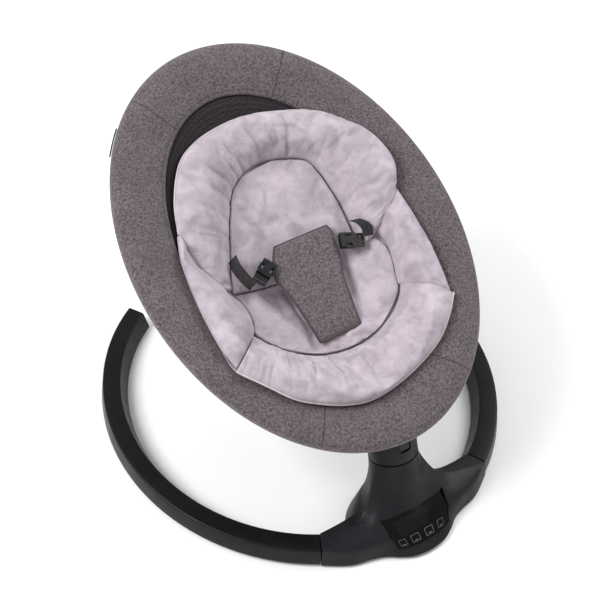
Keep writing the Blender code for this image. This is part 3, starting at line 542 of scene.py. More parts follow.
def panel_patch(name, corners, lift, thickness, material, steps=10):
    """A thin curved plate on the panel between four (across, upward) corners."""
    (a0, b0), (a1, b1), (a2, b2), (a3, b3) = corners
    points = []
    for level in (lift, lift - thickness):
        for r in range(steps + 1):
            v = r / steps
            for c in range(steps + 1):
                u = c / steps
                across = (a0 * (1 - u) + a1 * u) * (1 - v) + (a3 * (1 - u) + a2 * u) * v
                upward = (b0 * (1 - u) + b1 * u) * (1 - v) + (b3 * (1 - u) + b2 * u) * v
                points.append(panel_point(across, upward, panel_depth(across, upward) - level))
    piece = mesh_object(name, points, slab_faces(steps + 1, steps + 1), material)
    face_outwards(piece)
    return piece


display = panel_patch("display_window", [(-0.60, 0.33), (0.22, 0.33), (0.30, 0.86), (-0.66, 0.86)],
                      0.00006, 0.0002, display_film)
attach(display, "base")

# Four touch keys printed in grey on the cover: a rounded square outline with a short lamp bar.
key_ink, tree, shader, place = begin("screen_printed_grey_ink", "#5f5957", 0.55)
mottle(tree, shader, place, "#555050", "#6b6462", 0.0012)
KEY_ACROSS = [-0.70, -0.275, 0.155, 0.575]
KEY_UPWARD = 0.175
key_points, key_faces = [], []


def key_ribbon(across, upward, outline, inner):
    start = len(key_points)
    for loop in (outline, inner):
        for x, y in loop:
            key_points.append(panel_point(across + x, upward + y,
                                          panel_depth(across + x, upward + y) - 0.00012))
    total = len(outline)
    for i in range(total):
        j = (i + 1) % total
        key_faces.append((start + i, start + j, start + total + j, start + total + i))


for across in KEY_ACROSS:
    square = [(-0.125, -0.090), (0.125, -0.090), (0.125, 0.090), (-0.125, 0.090)]
    outer_loop = rounded(square, [0.022] * 4, 4)
    inner_loop = [Vector((p.x * 0.885, p.y * 0.885)) for p in outer_loop]
    key_ribbon(across, KEY_UPWARD, outer_loop, inner_loop)
    bar = rounded([(-0.052, -0.060), (0.052, -0.060), (0.052, -0.038), (-0.052, -0.038)], [0.008] * 4, 2)
    middle = Vector((0, -0.049))
    key_ribbon(across, KEY_UPWARD, bar, [middle + (p - middle) * 0.05 for p in bar])
keys = mesh_object("touch_key_print", key_points, key_faces, key_ink)
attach(keys, "base")

# Speaker grille: rows of 2.2 mm dark discs stand for its holes; they lie on the left flank and
# aren't cut through it.
hole_black, tree, shader, place = begin("shadowed_speaker_hole", "#030303", 0.9, Specular_IOR_Level=0.0)
mottle(tree, shader, place, "#020202", "#050505", 0.002)
hole_points, hole_faces = [], []
HOLE_PITCH = 0.0042
flank = BVHTree.FromPolygons([v.co for v in shell.data.vertices],
                             [p.vertices for p in shell.data.polygons])
grille_level, grille_column = shoulder_row + 8, len(columns) - 4
middle = Vector(surface[grille_level][grille_column])
grille_side = (Vector(surface[grille_level][grille_column + 2])
               - Vector(surface[grille_level][grille_column - 2])).normalized()
grille_over = (Vector(surface[grille_level + 1][grille_column])
               - Vector(surface[grille_level - 1][grille_column]))
grille_out = grille_side.cross(grille_over).normalized()
grille_over = grille_out.cross(grille_side)
for row in range(6):
    for k in range(5):
        spot = (middle + grille_side * ((k - 2 + 0.5 * (row % 2)) * HOLE_PITCH)
                + grille_over * ((row - 2.5) * HOLE_PITCH * 0.87))
        here, normal, _, _ = flank.ray_cast(spot + grille_out * 0.02, -grille_out)
        side_way = (grille_side - normal * grille_side.dot(normal)).normalized()
        over_way = normal.cross(side_way)
        start = len(hole_points)
        for ring_radius, lift in ((0.0011, 0.00015), (0.0009, 0.00025), (0.0004, 0.0001)):
            for i in range(12):
                turn = 2 * math.pi * i / 12
                hole_points.append(here + side_way * (ring_radius * math.cos(turn))
                                   + over_way * (ring_radius * math.sin(turn)) + normal * lift)
        for ring in (0, 12):
            for i in range(12):
                j = (i + 1) % 12
                hole_faces.append((start + ring + i, start + ring + j, start + ring + 12 + j,
                                   start + ring + 12 + i))
        hole_faces.append(tuple(start + 24 + i for i in range(12)))
grille = mesh_object("speaker_grille_holes", hole_points, hole_faces, hole_black)
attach(grille, "base")

# Grey glass-filled nylon for the parts nobody sees: bottom cover, bearing bracket, lever, joiners.
grey_nylon, tree, shader, place = begin("glass_filled_grey_nylon", "#4b4c4f", 0.55, IOR=1.53)
mottle(tree, shader, place, "#444548", "#545558", 0.010)
grain(tree, shader, place, 0.0006, 0.00005)
paint(grey_nylon, "housing_bottom_cover", "display_module", "speaker_driver", "bearing_bracket",
      "magnet_lever", "tube_joiner_left", "tube_joiner_right")
paint(zinc_steel, "housing_screw_left", "housing_screw_right")

# Control board: green solder mask over glass laminate, its copper showing as a faint grid.
solder_mask, tree, shader, place = begin("green_solder_mask", "#155a34", 0.35, IOR=1.5)
tracks = add(tree, "ShaderNodeTexBrick", {"Scale": 260.0, "Color1": linear("#14552f"),
                                          "Color2": linear("#17613a"), "Mortar": linear("#2a7a4a")},
             {"Vector": place})
tree.links.new(tracks.outputs["Color"], shader.inputs["Base Color"])
paint(solder_mask, "control_board")

# Power inlet and other small black acetal mouldings: smooth, a little waxy.
black_acetal, tree, shader, place = begin("moulded_black_acetal", "#151417", 0.30, IOR=1.48,
                                            Specular_IOR_Level=0.30)
mottle(tree, shader, place, "#131215", "#19181b", 0.006)
grain(tree, shader, place, 0.0007, 0.00002, 0.5)
wear(tree, shader, place, 0.22, 0.36, 0.006)
paint(black_acetal, "dc_inlet", "recline_button")


# ================================================================ drive
# A ground steel shaft runs in two ball bearings; a magnet on its lever swings over a copper coil.
paint(zinc_steel, "swing_shaft", "shaft_circlip", "upper_bearing", "lower_bearing", "recline_pin")
plated_magnet, tree, shader, place = begin("nickel_plated_magnet", "#c8c6c0", 0.22, Metallic=1.0)
mottle(tree, shader, place, "#bdbbb4", "#d2d0cb", 0.004)
wear(tree, shader, place, 0.18, 0.30, 0.004)
paint(plated_magnet, "drive_magnet")
# Enamelled winding: 0.6 mm wire laid side by side.
WAVE_BAND = 0.314                 # metres between the bands of a wave texture of scale 1
copper_wire, tree, shader, place = begin("enamelled_copper_wire", "#b4652f", 0.30, Metallic=1.0)
winding = add(tree, "ShaderNodeTexWave", {"Scale": WAVE_BAND / 0.0006, "bands_direction": "Z"},
              {"Vector": place})
ridges = add(tree, "ShaderNodeBump", {"Distance": 0.00015}, {"Height": winding.outputs["Fac"]})
tree.links.new(ridges.outputs["Normal"], shader.inputs["Normal"])
mottle(tree, shader, place, "#a95a28", "#c07238", 0.003)
paint(copper_wire, "drive_coil")


# ================================================================ neck collar
# A turned-looking cup in the same charcoal ABS stands on the neck with a fine shadow gap, turns
# with the seat, and holds the recline pin and its push button in a front pocket.
COLLAR_TOP = 0.0450
SHAFT_RADIUS = 0.006


def neck_place(x, y, z):
    """A point given in the swing axis's own frame, z up the axis."""
    return neck_point + neck_lean @ Vector((x, y, z))


collar_profile = [(SHAFT_RADIUS + 0.0004, 0.0018), (NECK_RADIUS - 0.0016, 0.0018),
                  (NECK_RADIUS - 0.0006, 0.0022), (NECK_RADIUS - 0.0001, 0.0034),
                  (NECK_RADIUS - 0.0003, 0.0425), (NECK_RADIUS - 0.0007, 0.0441),
                  (NECK_RADIUS - 0.0018, COLLAR_TOP), (NECK_RADIUS - 0.0031, COLLAR_TOP - 0.0001),
                  (NECK_RADIUS - 0.0034, COLLAR_TOP - 0.0006), (NECK_RADIUS - 0.0034, 0.0080),
                  (0.0120, 0.0080), (0.0115, 0.0190), (SHAFT_RADIUS + 0.0004, 0.0190)]
collar_rings = []
for k in range(120):
    turn = 2 * math.pi * k / 120
    collar_rings.append([neck_place(r * math.cos(turn), r * math.sin(turn), z)
                         for r, z in collar_profile])
collar = loft("neck_collar_cup", collar_rings, charcoal_abs, looped=True, smooth_angle=30)
pocket_corners = rounded([(-0.0096, 0.0204), (0.0096, 0.0204), (0.0096, 0.0386), (-0.0096, 0.0386)],
                         [0.0022] * 4, 4)
pocket_tool = loft("button_pocket_tool", [[neck_place(p.x, y, p.y) for p in pocket_corners]
                                          for y in (-0.0420, -0.0290)], charcoal_abs)
bore_tool = loft("pin_bore_tool", [[neck_place(x, 0.0034 * math.cos(math.pi * i / 12),
                                               0.036 + 0.0034 * math.sin(math.pi * i / 12))
                                    for i in range(24)] for x in (-0.045, 0.045)], charcoal_abs)
carve(collar, [pocket_tool, bore_tool], charcoal_abs, 30)
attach(collar, "swing_arm")                    # swings with the seat
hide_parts("neck_collar")


# ================================================================ seat frame
# Two half ovals of 18 mm steel tube, plugged together at the sides, and a nylon bracket that
# holds them to the neck.  Seat places are given as (across, towards the head, above the rim).
recline_pivot = Vector(next(j for j in frame["joints"] if j["name"] == "seat_recline")["pos_m"])
SEAT_TILT = math.radians(25.5)
seat_along = Vector((0, math.cos(SEAT_TILT), math.sin(SEAT_TILT)))
seat_up = Vector((0, -math.sin(SEAT_TILT), math.cos(SEAT_TILT)))
rim_centre = recline_pivot + seat_along * 0.31095 + seat_up * 0.06659
RIM_HALF_WIDTH, RIM_HALF_LENGTH = 0.260, 0.340


def seat_place(x, s, n):
    return rim_centre + Vector((x, 0, 0)) + seat_along * s + seat_up * n


def rim_place(angle, inset, height):
    """A place at a distance inside the rim's outer oval; angle 0 at +X, 90 at the head."""
    x, s = RIM_HALF_WIDTH * math.cos(angle), RIM_HALF_LENGTH * math.sin(angle)
    normal = Vector((math.cos(angle) / RIM_HALF_WIDTH, math.sin(angle) / RIM_HALF_LENGTH)).normalized()
    return seat_place(x - normal.x * inset, s - normal.y * inset, height)


paint(zinc_steel, "rim_tube_head", "rim_tube_foot")
paint(black_acetal, "seat_bracket")


# ================================================================ cover band
# The broad outer band of the seat: taupe melange woven polyester over thin foam, cut in panels
# that meet in radial seams, stretched over the rim tube and hemmed at the bowl.
BAND_WIDTH = 0.083
TUBE_INSET, TUBE_DROP = 0.0125, 0.0105
GROOVE_RADIUS = 0.0102
SEAM_PLACES = [math.radians(a) for a in (58.7, 121.3, 239.7, 300.3)]

band_top = [(0.0140, -0.0236), (0.0092, -0.0232), (0.0050, -0.0216), (0.0022, -0.0184),
            (0.0006, -0.0142), (0.0, -0.0100), (0.0006, -0.0062), (0.0026, -0.0026),
            (0.0058, -0.0002), (0.0100, 0.0010), (0.0160, 0.0013), (0.0230, 0.0011),
            (0.0300, 0.0004), (0.0380, -0.0018), (0.0460, -0.0047), (0.0540, -0.0079),
            (0.0620, -0.0112), (0.0700, -0.0146), (0.0770, -0.0177), (0.0812, -0.0196),
            (0.0826, -0.0207), (BAND_WIDTH, -0.0222)]
band_under = [(0.0829, -0.0242), (0.0810, -0.0254), (0.0770, -0.0240), (0.0580, -0.0160),
              (0.0340, -0.0075)]
band_groove = [(TUBE_INSET + GROOVE_RADIUS * math.cos(math.radians(20 + 260 * k / 10)),
                -TUBE_DROP + GROOVE_RADIUS * math.sin(math.radians(20 + 260 * k / 10)))
               for k in range(11)]
band_profile = band_top + band_under + band_groove
steps = sorted(set([round(2 * math.pi * k / 300, 6) for k in range(300)]
                   + [round(seam + math.radians(d), 6) for seam in SEAM_PLACES
                      for d in (-0.55, -0.36, -0.20, -0.08, 0.0, 0.08, 0.20, 0.36, 0.55)]))


def band_relief(angle, inset):
    """Height of the cloth's relief: seams, stretch folds near the neck and soft unevenness."""
    if inset < 0.003 or inset > 0.0822:
        return 0.0
    edge = min(1.0, (inset - 0.003) / 0.010) * min(1.0, (0.0822 - inset) / 0.006)
    relief = 0.0
    for seam in SEAM_PLACES:
        off = math.degrees(angle - seam)
        relief -= 0.0016 * math.exp(-(off / 0.16) ** 2)
        relief += 0.0005 * math.exp(-((abs(off) - 0.75) / 0.45) ** 2)
    foot = math.degrees(angle) - 270
    near_foot = math.exp(-(foot / 24.0) ** 4)
    fold = math.sin(math.radians(foot) * 34 + 0.8) * 0.6 + math.sin(math.radians(foot) * 57 + 2.0) * 0.4
    relief += near_foot * 0.0018 * fold * math.sin(math.pi * min(1.0, inset / BAND_WIDTH)) ** 0.7
    relief += 0.00035 * math.sin(angle * 17 + 1.1) * math.sin(inset * 90)
    return relief * edge


band_rings = []
for angle in steps:
    band_rings.append([rim_place(angle, inset, height + (band_relief(angle, inset)
                                                         if i < len(band_top) else 0.0))
                       for i, (inset, height) in enumerate(band_profile)])

# Melange: grey, brown and off-white fibres spun together, so the cloth is speckled; the 1 to 2 mm
# flecks are drawn at 3.4 mm and the 0.7 mm threads at 1.5 mm so that both show.
def weave(tree, place, pitch, **settings):
    """Crossing threads in the plane of the seat, a thread every pitch metres."""
    turned = add(tree, "ShaderNodeMapping", {"Rotation": (-SEAT_TILT, 0, 0)}, {"Vector": place})
    warp, weft = [add(tree, "ShaderNodeTexWave", {"Scale": WAVE_BAND / pitch, "bands_direction": way,
                                                  **settings}, {"Vector": turned.outputs["Vector"]})
                  for way in ("X", "Y")]
    return add(tree, "ShaderNodeMath", {"operation": "MULTIPLY"},
               {0: warp.outputs["Fac"], 1: weft.outputs["Fac"]})


melange, tree, shader, place = begin("woven_taupe_melange_polyester", "#6e6667", 0.92,
                                     Sheen_Weight=0.25, Sheen_Roughness=0.5)
threads = weave(tree, place, 0.0015, Distortion=1.2, Detail=2.0, **{"Detail Scale": 1.5})
speckle = add(tree, "ShaderNodeTexNoise", {"Scale": 1 / 0.0034, "Detail": 3.0, "Roughness": 0.8},
              {"Vector": place})
speckle_range = add(tree, "ShaderNodeMapRange", {"From Min": 0.36, "From Max": 0.64},
                    {"Value": speckle.outputs["Fac"]})
fibres = add(tree, "ShaderNodeMix", {"data_type": "RGBA", 6: linear("#352e31"), 7: linear("#71666a")},
             {0: speckle_range.outputs["Result"]})
cloud = add(tree, "ShaderNodeTexNoise", {"Scale": 1 / 0.045, "Detail": 3.0}, {"Vector": place})
cloud_range = add(tree, "ShaderNodeMapRange", {"From Min": 0.3, "From Max": 0.7, "To Min": 0.90,
                                               "To Max": 1.08}, {"Value": cloud.outputs["Fac"]})
shade = add(tree, "ShaderNodeVectorMath", {"operation": "SCALE"},
            {0: fibres.outputs[2], "Scale": cloud_range.outputs["Result"]})
tree.links.new(shade.outputs[0], shader.inputs["Base Color"])
both = add(tree, "ShaderNodeMath", {"operation": "ADD"},
           {0: threads.outputs[0], 1: speckle_range.outputs["Result"]})
rib = add(tree, "ShaderNodeBump", {"Strength": 0.8, "Distance": 0.00035}, {"Height": both.outputs[0]})
tree.links.new(rib.outputs["Normal"], shader.inputs["Normal"])

band = loft("seat_band_cover", band_rings, melange, looped=True, smooth_angle=60)
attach(band, "seat")
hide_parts("seat_cover_band")

# Sewing thread laid in each radial seam shows as a thin dark line; stitches run round the hem.
seam_thread, tree, shader, place = begin("twisted_dark_sewing_thread", "#2b2626", 0.8,
                                         Sheen_Weight=0.2)
twist = add(tree, "ShaderNodeTexNoise", {"Scale": 1 / 0.0008, "Detail": 2.0}, {"Vector": place})
twist_bump = add(tree, "ShaderNodeBump", {"Distance": 0.0002}, {"Height": twist.outputs["Fac"]})
tree.links.new(twist_bump.outputs["Normal"], shader.inputs["Normal"])
mottle(tree, shader, place, "#221e1e", "#352f2f", 0.0015)


def round_cord(name, path, radius, sides, material):
    """A round thread or cord along a path of points on the seat."""
    rings = []
    for k, point in enumerate(path):
        run = (path[min(k + 1, len(path) - 1)] - path[max(k - 1, 0)]).normalized()
        across = run.cross(seat_up).normalized()
        over = across.cross(run)
        rings.append([point + across * (radius * math.cos(2 * math.pi * i / sides))
                      + over * (radius * math.sin(2 * math.pi * i / sides)) for i in range(sides)])
    piece = loft(name, rings, material)
    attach(piece, "seat")


for number, seam in enumerate(SEAM_PLACES):
    path = [rim_place(seam, inset, height + band_relief(seam, inset) + 0.0001)
            for inset, height in band_top[7:20]]
    round_cord("band_seam_thread_%d" % (number + 1), path, 0.00055, 8, seam_thread)
stitches_points, stitches_faces = [], []
hem_spans = 320
for k in range(hem_spans):
    start_angle = 2 * math.pi * k / hem_spans
    end_angle = start_angle + 2 * math.pi / hem_spans * 0.66
    a = rim_place(start_angle, 0.0768, -0.0174)
    b = rim_place(end_angle, 0.0768, -0.0174)
    run = (b - a).normalized()
    across = run.cross(seat_up).normalized() * 0.00045
    lift = seat_up * 0.0004
    base = len(stitches_points)
    stitches_points += [a - across, a + across, a + lift, b - across, b + across, b + lift]
    stitches_faces += [(base, base + 2, base + 1), (base + 3, base + 4, base + 5),
                       (base, base + 1, base + 4, base + 3), (base + 1, base + 2, base + 5, base + 4),
                       (base + 2, base, base + 3, base + 5)]
hem_stitches = mesh_object("band_hem_stitches", stitches_points, stitches_faces, seam_thread)
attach(hem_stitches, "seat")

# Toy-bar sockets: small black acetal clips over the rim's outer edge.
paint(black_acetal, "toy_bar_socket_left", "toy_bar_socket_right")


# ================================================================ bowl
# The bowl hangs inside the band: a ring of black knitted air mesh, then a melange sling under
# the insert.  It sags like a hammock and is deeper towards the foot.
BOWL_HALF_WIDTH = RIM_HALF_WIDTH - BAND_WIDTH
BOWL_HALF_LENGTH = RIM_HALF_LENGTH - BAND_WIDTH
BOWL_EDGE, BOWL_DEPTH, BOWL_LEAN = -0.023, 0.092, 0.35


def bowl_height(x, s):
    reach = math.hypot(x / BOWL_HALF_WIDTH, s / BOWL_HALF_LENGTH)
    if reach >= 1:
        return BOWL_EDGE + 0.100 * (reach - 1) + 0.0005
    return BOWL_EDGE - BOWL_DEPTH * (1 - reach ** 2) * (1 - BOWL_LEAN * s / BOWL_HALF_LENGTH)


def bowl_ring(reach, lift, spans):
    ring = []
    for k in range(spans):
        angle = 2 * math.pi * k / spans
        x, s = reach * BOWL_HALF_WIDTH * math.cos(angle), reach * BOWL_HALF_LENGTH * math.sin(angle)
        ring.append(seat_place(x, s, bowl_height(x, s) + lift))
    return ring


# Knitted spacer mesh: black yarn round 2 mm holes on a 3.4 mm pitch; the holes are painted near black as
# the shade inside them.
air_mesh, tree, shader, place = begin("knitted_black_air_mesh", "#2a282a", 0.85, Sheen_Weight=0.06,
                                        Specular_IOR_Level=0.12)
turned = add(tree, "ShaderNodeMapping", {"Rotation": (-SEAT_TILT, 0, 0)}, {"Vector": place})
cells = add(tree, "ShaderNodeTexVoronoi", {"Scale": 1 / 0.0034, "Randomness": 0.25},
            {"Vector": turned.outputs["Vector"]})
holes = add(tree, "ShaderNodeMapRange", {"From Min": 0.22, "From Max": 0.42},
            {"Value": cells.outputs["Distance"]})
# painted shade: the near-black end of this mix fills the mesh holes, the lighter end is the black yarn
yarn_and_hole_shade = add(tree, "ShaderNodeMix", {"data_type": "RGBA", 6: linear("#0a090a"), 7: linear("#312d30")},
           {0: holes.outputs["Result"]})
tree.links.new(yarn_and_hole_shade.outputs[2], shader.inputs["Base Color"])
knit = add(tree, "ShaderNodeBump", {"Strength": 1.0, "Distance": 0.0008},
           {"Height": holes.outputs["Result"]})
tree.links.new(knit.outputs["Normal"], shader.inputs["Normal"])
reaches = [(0.79, 0.0), (0.81, 0.0), (0.84, 0.0), (0.87, 0.0), (0.90, 0.0), (0.93, 0.0), (0.96, 0.0),
           (0.984, -0.0005), (1.00, -0.0042), (1.02, -0.0066), (1.05, -0.0096)]
rings = [bowl_ring(r, drop, 160) for r, drop in reaches]
rings += [bowl_ring(r, drop - 0.0024, 160) for r, drop in reversed(reaches)]
mesh_cloth = loft("air_mesh_ring", rings, air_mesh, looped=True, smooth_angle=60)
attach(mesh_cloth, "seat")
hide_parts("mesh_ring")

reaches = [(0.03, 0.0), (0.10, 0.0), (0.18, 0.0), (0.26, 0.0), (0.34, 0.0), (0.42, 0.0), (0.50, 0.0),
           (0.58, 0.0), (0.66, 0.0), (0.72, -0.0004), (0.76, -0.0030), (0.81, -0.0034), (0.83, -0.0034)]
rings = [bowl_ring(r, drop, 120) for r, drop in reaches]
rings += [bowl_ring(r, drop - 0.003, 120) for r, drop in reversed(reaches)]
sling = loft("bowl_sling", rings, melange, smooth_angle=60)
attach(sling, "seat")
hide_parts("seat_sling")


# ================================================================ quilted insert
# A loose cushion in light grey plush velour.  Separate stuffed chambers are sewn together:
# a horseshoe round the head, a back pad, two side wings, a seat pad and a horseshoe at the foot.
# Each chamber is blown up as cloth round its filling, then its seams and gathers are sewn in.
PLUSH_LIFT = 0.0062

HEAD_OUTER = [(-0.126, -0.022), (-0.147, 0.008), (-0.156, 0.040), (-0.161, 0.073), (-0.141, 0.124),
              (-0.106, 0.176), (-0.066, 0.202), (-0.018, 0.215), (0.029, 0.216), (0.081, 0.203),
              (0.128, 0.178), (0.164, 0.143), (0.190, 0.100), (0.199, 0.052), (0.187, 0.016),
              (0.162, -0.016), (0.128, -0.036)]
HEAD_INNER = [(-0.112, -0.022), (-0.098, 0.006), (-0.086, 0.026), (-0.074, 0.050), (-0.057, 0.083),
              (-0.036, 0.118), (-0.012, 0.138), (0.012, 0.146), (0.040, 0.146), (0.070, 0.137),
              (0.096, 0.120), (0.107, 0.092), (0.114, 0.055), (0.116, 0.022), (0.115, -0.004),
              (0.113, -0.022), (0.110, -0.036)]

LOW_OUTER = [(-0.193, -0.151), (-0.160, -0.187), (-0.134, -0.217), (-0.108, -0.235), (-0.065, -0.256),
             (-0.020, -0.265), (0.044, -0.256), (0.106, -0.234), (0.144, -0.206), (0.169, -0.178)]
LOW_INNER = [(-0.121, -0.101), (-0.106, -0.119), (-0.088, -0.136), (-0.062, -0.153), (-0.034, -0.166),
             (0.002, -0.174), (0.045, -0.175), (0.090, -0.158), (0.114, -0.138), (0.126, -0.122)]


def grid_pad(inner, outer, thickness, along, across, end_taper=0.30, crown_power=0.6):
    """Rows of seat places (x, s, n) for the top and under faces of a stuffed chamber."""
    inner_curve, outer_curve = spline(inner, along), spline(outer, along)
    top, under = [], []
    for k in range(along + 1):
        end = math.sin(math.pi * min(max(k / along, 0.02), 0.98)) ** end_taper
        top_row, under_row = [], []
        for c in range(across + 1):
            v = c / across
            spot = inner_curve[k].lerp(outer_curve[k], v)
            crown = math.sin(math.pi * (0.04 + 0.92 * v)) ** crown_power
            base = bowl_height(spot.x, spot.y) + PLUSH_LIFT
            top_row.append((spot.x, spot.y, base + thickness * crown * end))
            under_row.append((spot.x, spot.y, base))
        top.append(top_row)
        under.append(under_row)
    return np.array(top), np.array(under)


def pad_mesh(name, top, under, material):
    """Closed mesh of a chamber; the first vertices are its top grid, row by row."""
    rows, cols = top.shape[:2]
    places = np.concatenate([top.reshape(-1, 3), under.reshape(-1, 3)])
    points = [seat_place(*p) for p in places]
    piece = mesh_object(name, points, slab_faces(cols, rows), material, 180)
    face_outwards(piece, 180)
    return piece


def inflate(piece, pressure, cap, held):
    """Runs cloth with air pressure on the piece, holds the marked vertices, and caps the swelling."""
    before = np.array([v.co for v in piece.data.vertices])
    group = piece.vertex_groups.new(name="held")
    for index, weight in enumerate(held):
        if weight > 0:
            group.add([index], float(weight), "REPLACE")
    cloth = piece.modifiers.new("cloth", "CLOTH")
    cloth.settings.effector_weights.gravity = 0.0
    cloth.settings.use_pressure = True
    cloth.settings.uniform_pressure_force = pressure
    cloth.settings.tension_stiffness = 12
    cloth.settings.compression_stiffness = 12
    cloth.settings.shear_stiffness = 4
    cloth.settings.bending_stiffness = 0.4
    cloth.settings.vertex_group_mass = "held"
    cloth.settings.pin_stiffness = 1.0
    cloth.settings.shrink_min = -0.035
    scene = bpy.context.scene
    for step in range(1, 21):
        scene.frame_set(step)
    evaluated = piece.evaluated_get(bpy.context.evaluated_depsgraph_get())
    after = np.array([v.co for v in evaluated.data.vertices])
    piece.modifiers.clear()
    scene.frame_set(1)
    piece.vertex_groups.clear()
    move = after - before
    size = np.linalg.norm(move, axis=1)[:, None]
    move *= np.minimum(1.0, cap / np.maximum(size, 1e-9))
    for vertex, place in zip(piece.data.vertices, before + move):
        vertex.co = place
    piece.data.update()


def sew(piece, top_shape, relief):
    """Moves the top grid's vertices along the seat's upward normal by relief(k, v) metres."""
    rows, cols = top_shape[:2]
    for r in range(rows):
        for c in range(cols):
            vertex = piece.data.vertices[r * cols + c]
            vertex.co = vertex.co + seat_up * relief(r / (rows - 1), c / (cols - 1))
    piece.data.update()


# Plush velour: 1.5 mm pile that lies in soft drifts, with a soft sheen; where the pile leans to the light,
# its sheen is painted into the colour as lighter patches.  The pile's tufts are drawn at 2.5 mm.
velour, tree, shader, place = begin("plush_light_grey_velour", "#bdb3bc", 0.96, Sheen_Weight=0.30,
                                    Sheen_Roughness=0.4)
drift = add(tree, "ShaderNodeTexNoise", {"Scale": 1 / 0.030, "Detail": 5.0, "Roughness": 0.62,
                                         "Distortion": 0.6}, {"Vector": place})
sheen_drift_range = add(tree, "ShaderNodeMapRange", {"From Min": 0.34, "From Max": 0.66},
                  {"Value": drift.outputs["Fac"]})
# painted sheen: the lighter colour stands for the pile catching the light, laid on in random drifts
painted_pile_sheen = add(tree, "ShaderNodeMix", {"data_type": "RGBA", 6: linear("#9f949d"), 7: linear("#bdb2bb")},
          {0: sheen_drift_range.outputs["Result"]})
tree.links.new(painted_pile_sheen.outputs[2], shader.inputs["Base Color"])
pile = add(tree, "ShaderNodeTexNoise", {"Scale": 1 / 0.0025, "Detail": 5.0, "Roughness": 0.7},
           {"Vector": place})
pile_and_drift = add(tree, "ShaderNodeMath", {"operation": "MULTIPLY_ADD", 1: 3.0},
                     {0: drift.outputs["Fac"], 2: pile.outputs["Fac"]})
pile_bump = add(tree, "ShaderNodeBump", {"Strength": 0.7, "Distance": 0.0009},
                {"Height": pile_and_drift.outputs[0]})
tree.links.new(pile_bump.outputs["Normal"], shader.inputs["Normal"])


def edge_held(top, keep_under=0.9):
    """Weights that hold a chamber's border fully and its under face nearly so."""
    rows, cols = top.shape[:2]
    held = np.zeros((2, rows, cols))
    held[1] = keep_under
    held[:, 0, :] = held[:, -1, :] = 1.0
    held[:, :, 0] = held[:, :, -1] = 1.0
    return held.reshape(-1)


def gathers(places, strength):
    """Radial gathers: narrow creases at the given shares of the length, fading off the seam."""
    def relief(k, v):
        depth = 0.0
        for place_k, width, amount, reach in places:
            fade = max(0.0, 1 - v / reach)
            depth -= amount * math.exp(-((k - place_k) / width) ** 2) * fade ** 0.7
        return depth * strength
    return relief


def chamber(name, cad_node, inner, outer, thickness, spans, pressure, cap, fill, creases=None, **crown):
    """A stuffed chamber between two seams: inflated, creased, rounded and put on the seat."""
    top, under = grid_pad(inner, outer, thickness, *spans, **crown)
    piece = pad_mesh(name, top, under, velour)
    inflate(piece, pressure, cap, edge_held(top))
    if creases:
        sew(piece, top.shape, creases)
    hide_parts(cad_node)                # stands for the plain CAD cushion
    smooth = piece.modifiers.new("round", "SUBSURF")
    smooth.levels = smooth.render_levels = 1
    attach(piece, "seat")                      # tilts and swings with the seat


# One layer of the velour runs under all the chambers and joins them; the outline follows their
# outer edges.
BACKING = HEAD_OUTER[3:15] + [(0.176, -0.006), (0.186, 0.006), (0.186, -0.040), (0.183, -0.090)]
BACKING += [(0.176, -0.135)] + [(x, s) for x, s in reversed(LOW_OUTER)]
BACKING += [(-0.195, -0.112), (-0.194, -0.070), (-0.190, -0.026), (-0.181, 0.030)]
backing_rings = []
for lift in (0.0040, 0.0012):
    reaches = [0.04 + 0.96 * k / 16 for k in range(17)]
    for reach in (reaches if lift > 0.002 else reversed(reaches)):
        ring = []
        for spot in spline(BACKING + BACKING[:1], 168)[:-1]:
            x, s = spot.x * reach * 0.985, spot.y * reach * 0.985 - 0.02 * (1 - reach)
            ring.append(seat_place(x, s, bowl_height(x, s) + lift))
        backing_rings.append(ring)
backing = loft("plush_insert_backing", backing_rings, velour, smooth_angle=60)
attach(backing, "seat")

head_gathers = [(0.20, 0.0050, 1.0, 0.8), (0.245, 0.0045, 0.8, 0.9), (0.29, 0.0045, 0.9, 0.8),
                (0.325, 0.0050, 1.0, 0.9), (0.365, 0.0045, 1.0, 0.9), (0.40, 0.0050, 1.2, 1.0),
                (0.435, 0.0045, 0.9, 0.8), (0.475, 0.0050, 1.2, 1.0), (0.52, 0.0045, 0.8, 0.8),
                (0.565, 0.0065, 1.2, 1.1), (0.66, 0.0060, 0.6, 0.6), (0.80, 0.0070, 0.6, 0.5)]
chamber("plush_head_bolster", "head_bolster", HEAD_INNER, HEAD_OUTER, 0.034, (220, 18), 4.0, 0.008, 0.7,
        gathers(head_gathers, 0.0065))

back_left = [(-0.111, -0.026), (-0.097, 0.004), (-0.085, 0.026), (-0.056, 0.083), (-0.035, 0.118),
             (-0.006, 0.140)]
back_right = [(0.109, -0.038), (0.112, 0.000), (0.112, 0.046), (0.104, 0.094), (0.090, 0.122),
              (0.046, 0.144)]

BACK_PULLS = [(0.62, 0.42, 0.05, 0.02, 0.004), (0.48, 0.46, 0.02, 0.07, 0.003),
              (0.15, 0.30, 0.05, 0.08, 0.003), (0.30, 0.72, 0.08, 0.015, 0.003)]


def back_creases(k, v):
    """Soft pulls where the straps come through and below the head."""
    relief = 0.0
    for ck, cv, long_k, long_v, amount in BACK_PULLS:
        relief -= amount * math.exp(-((k - ck) / long_k) ** 2 - ((v - cv) / long_v) ** 2)
    return relief


chamber("plush_back_pad", "back_pad", back_left, back_right, 0.017, (48, 48), 3.0, 0.006, 0.5,
        back_creases, end_taper=0.25, crown_power=0.35)

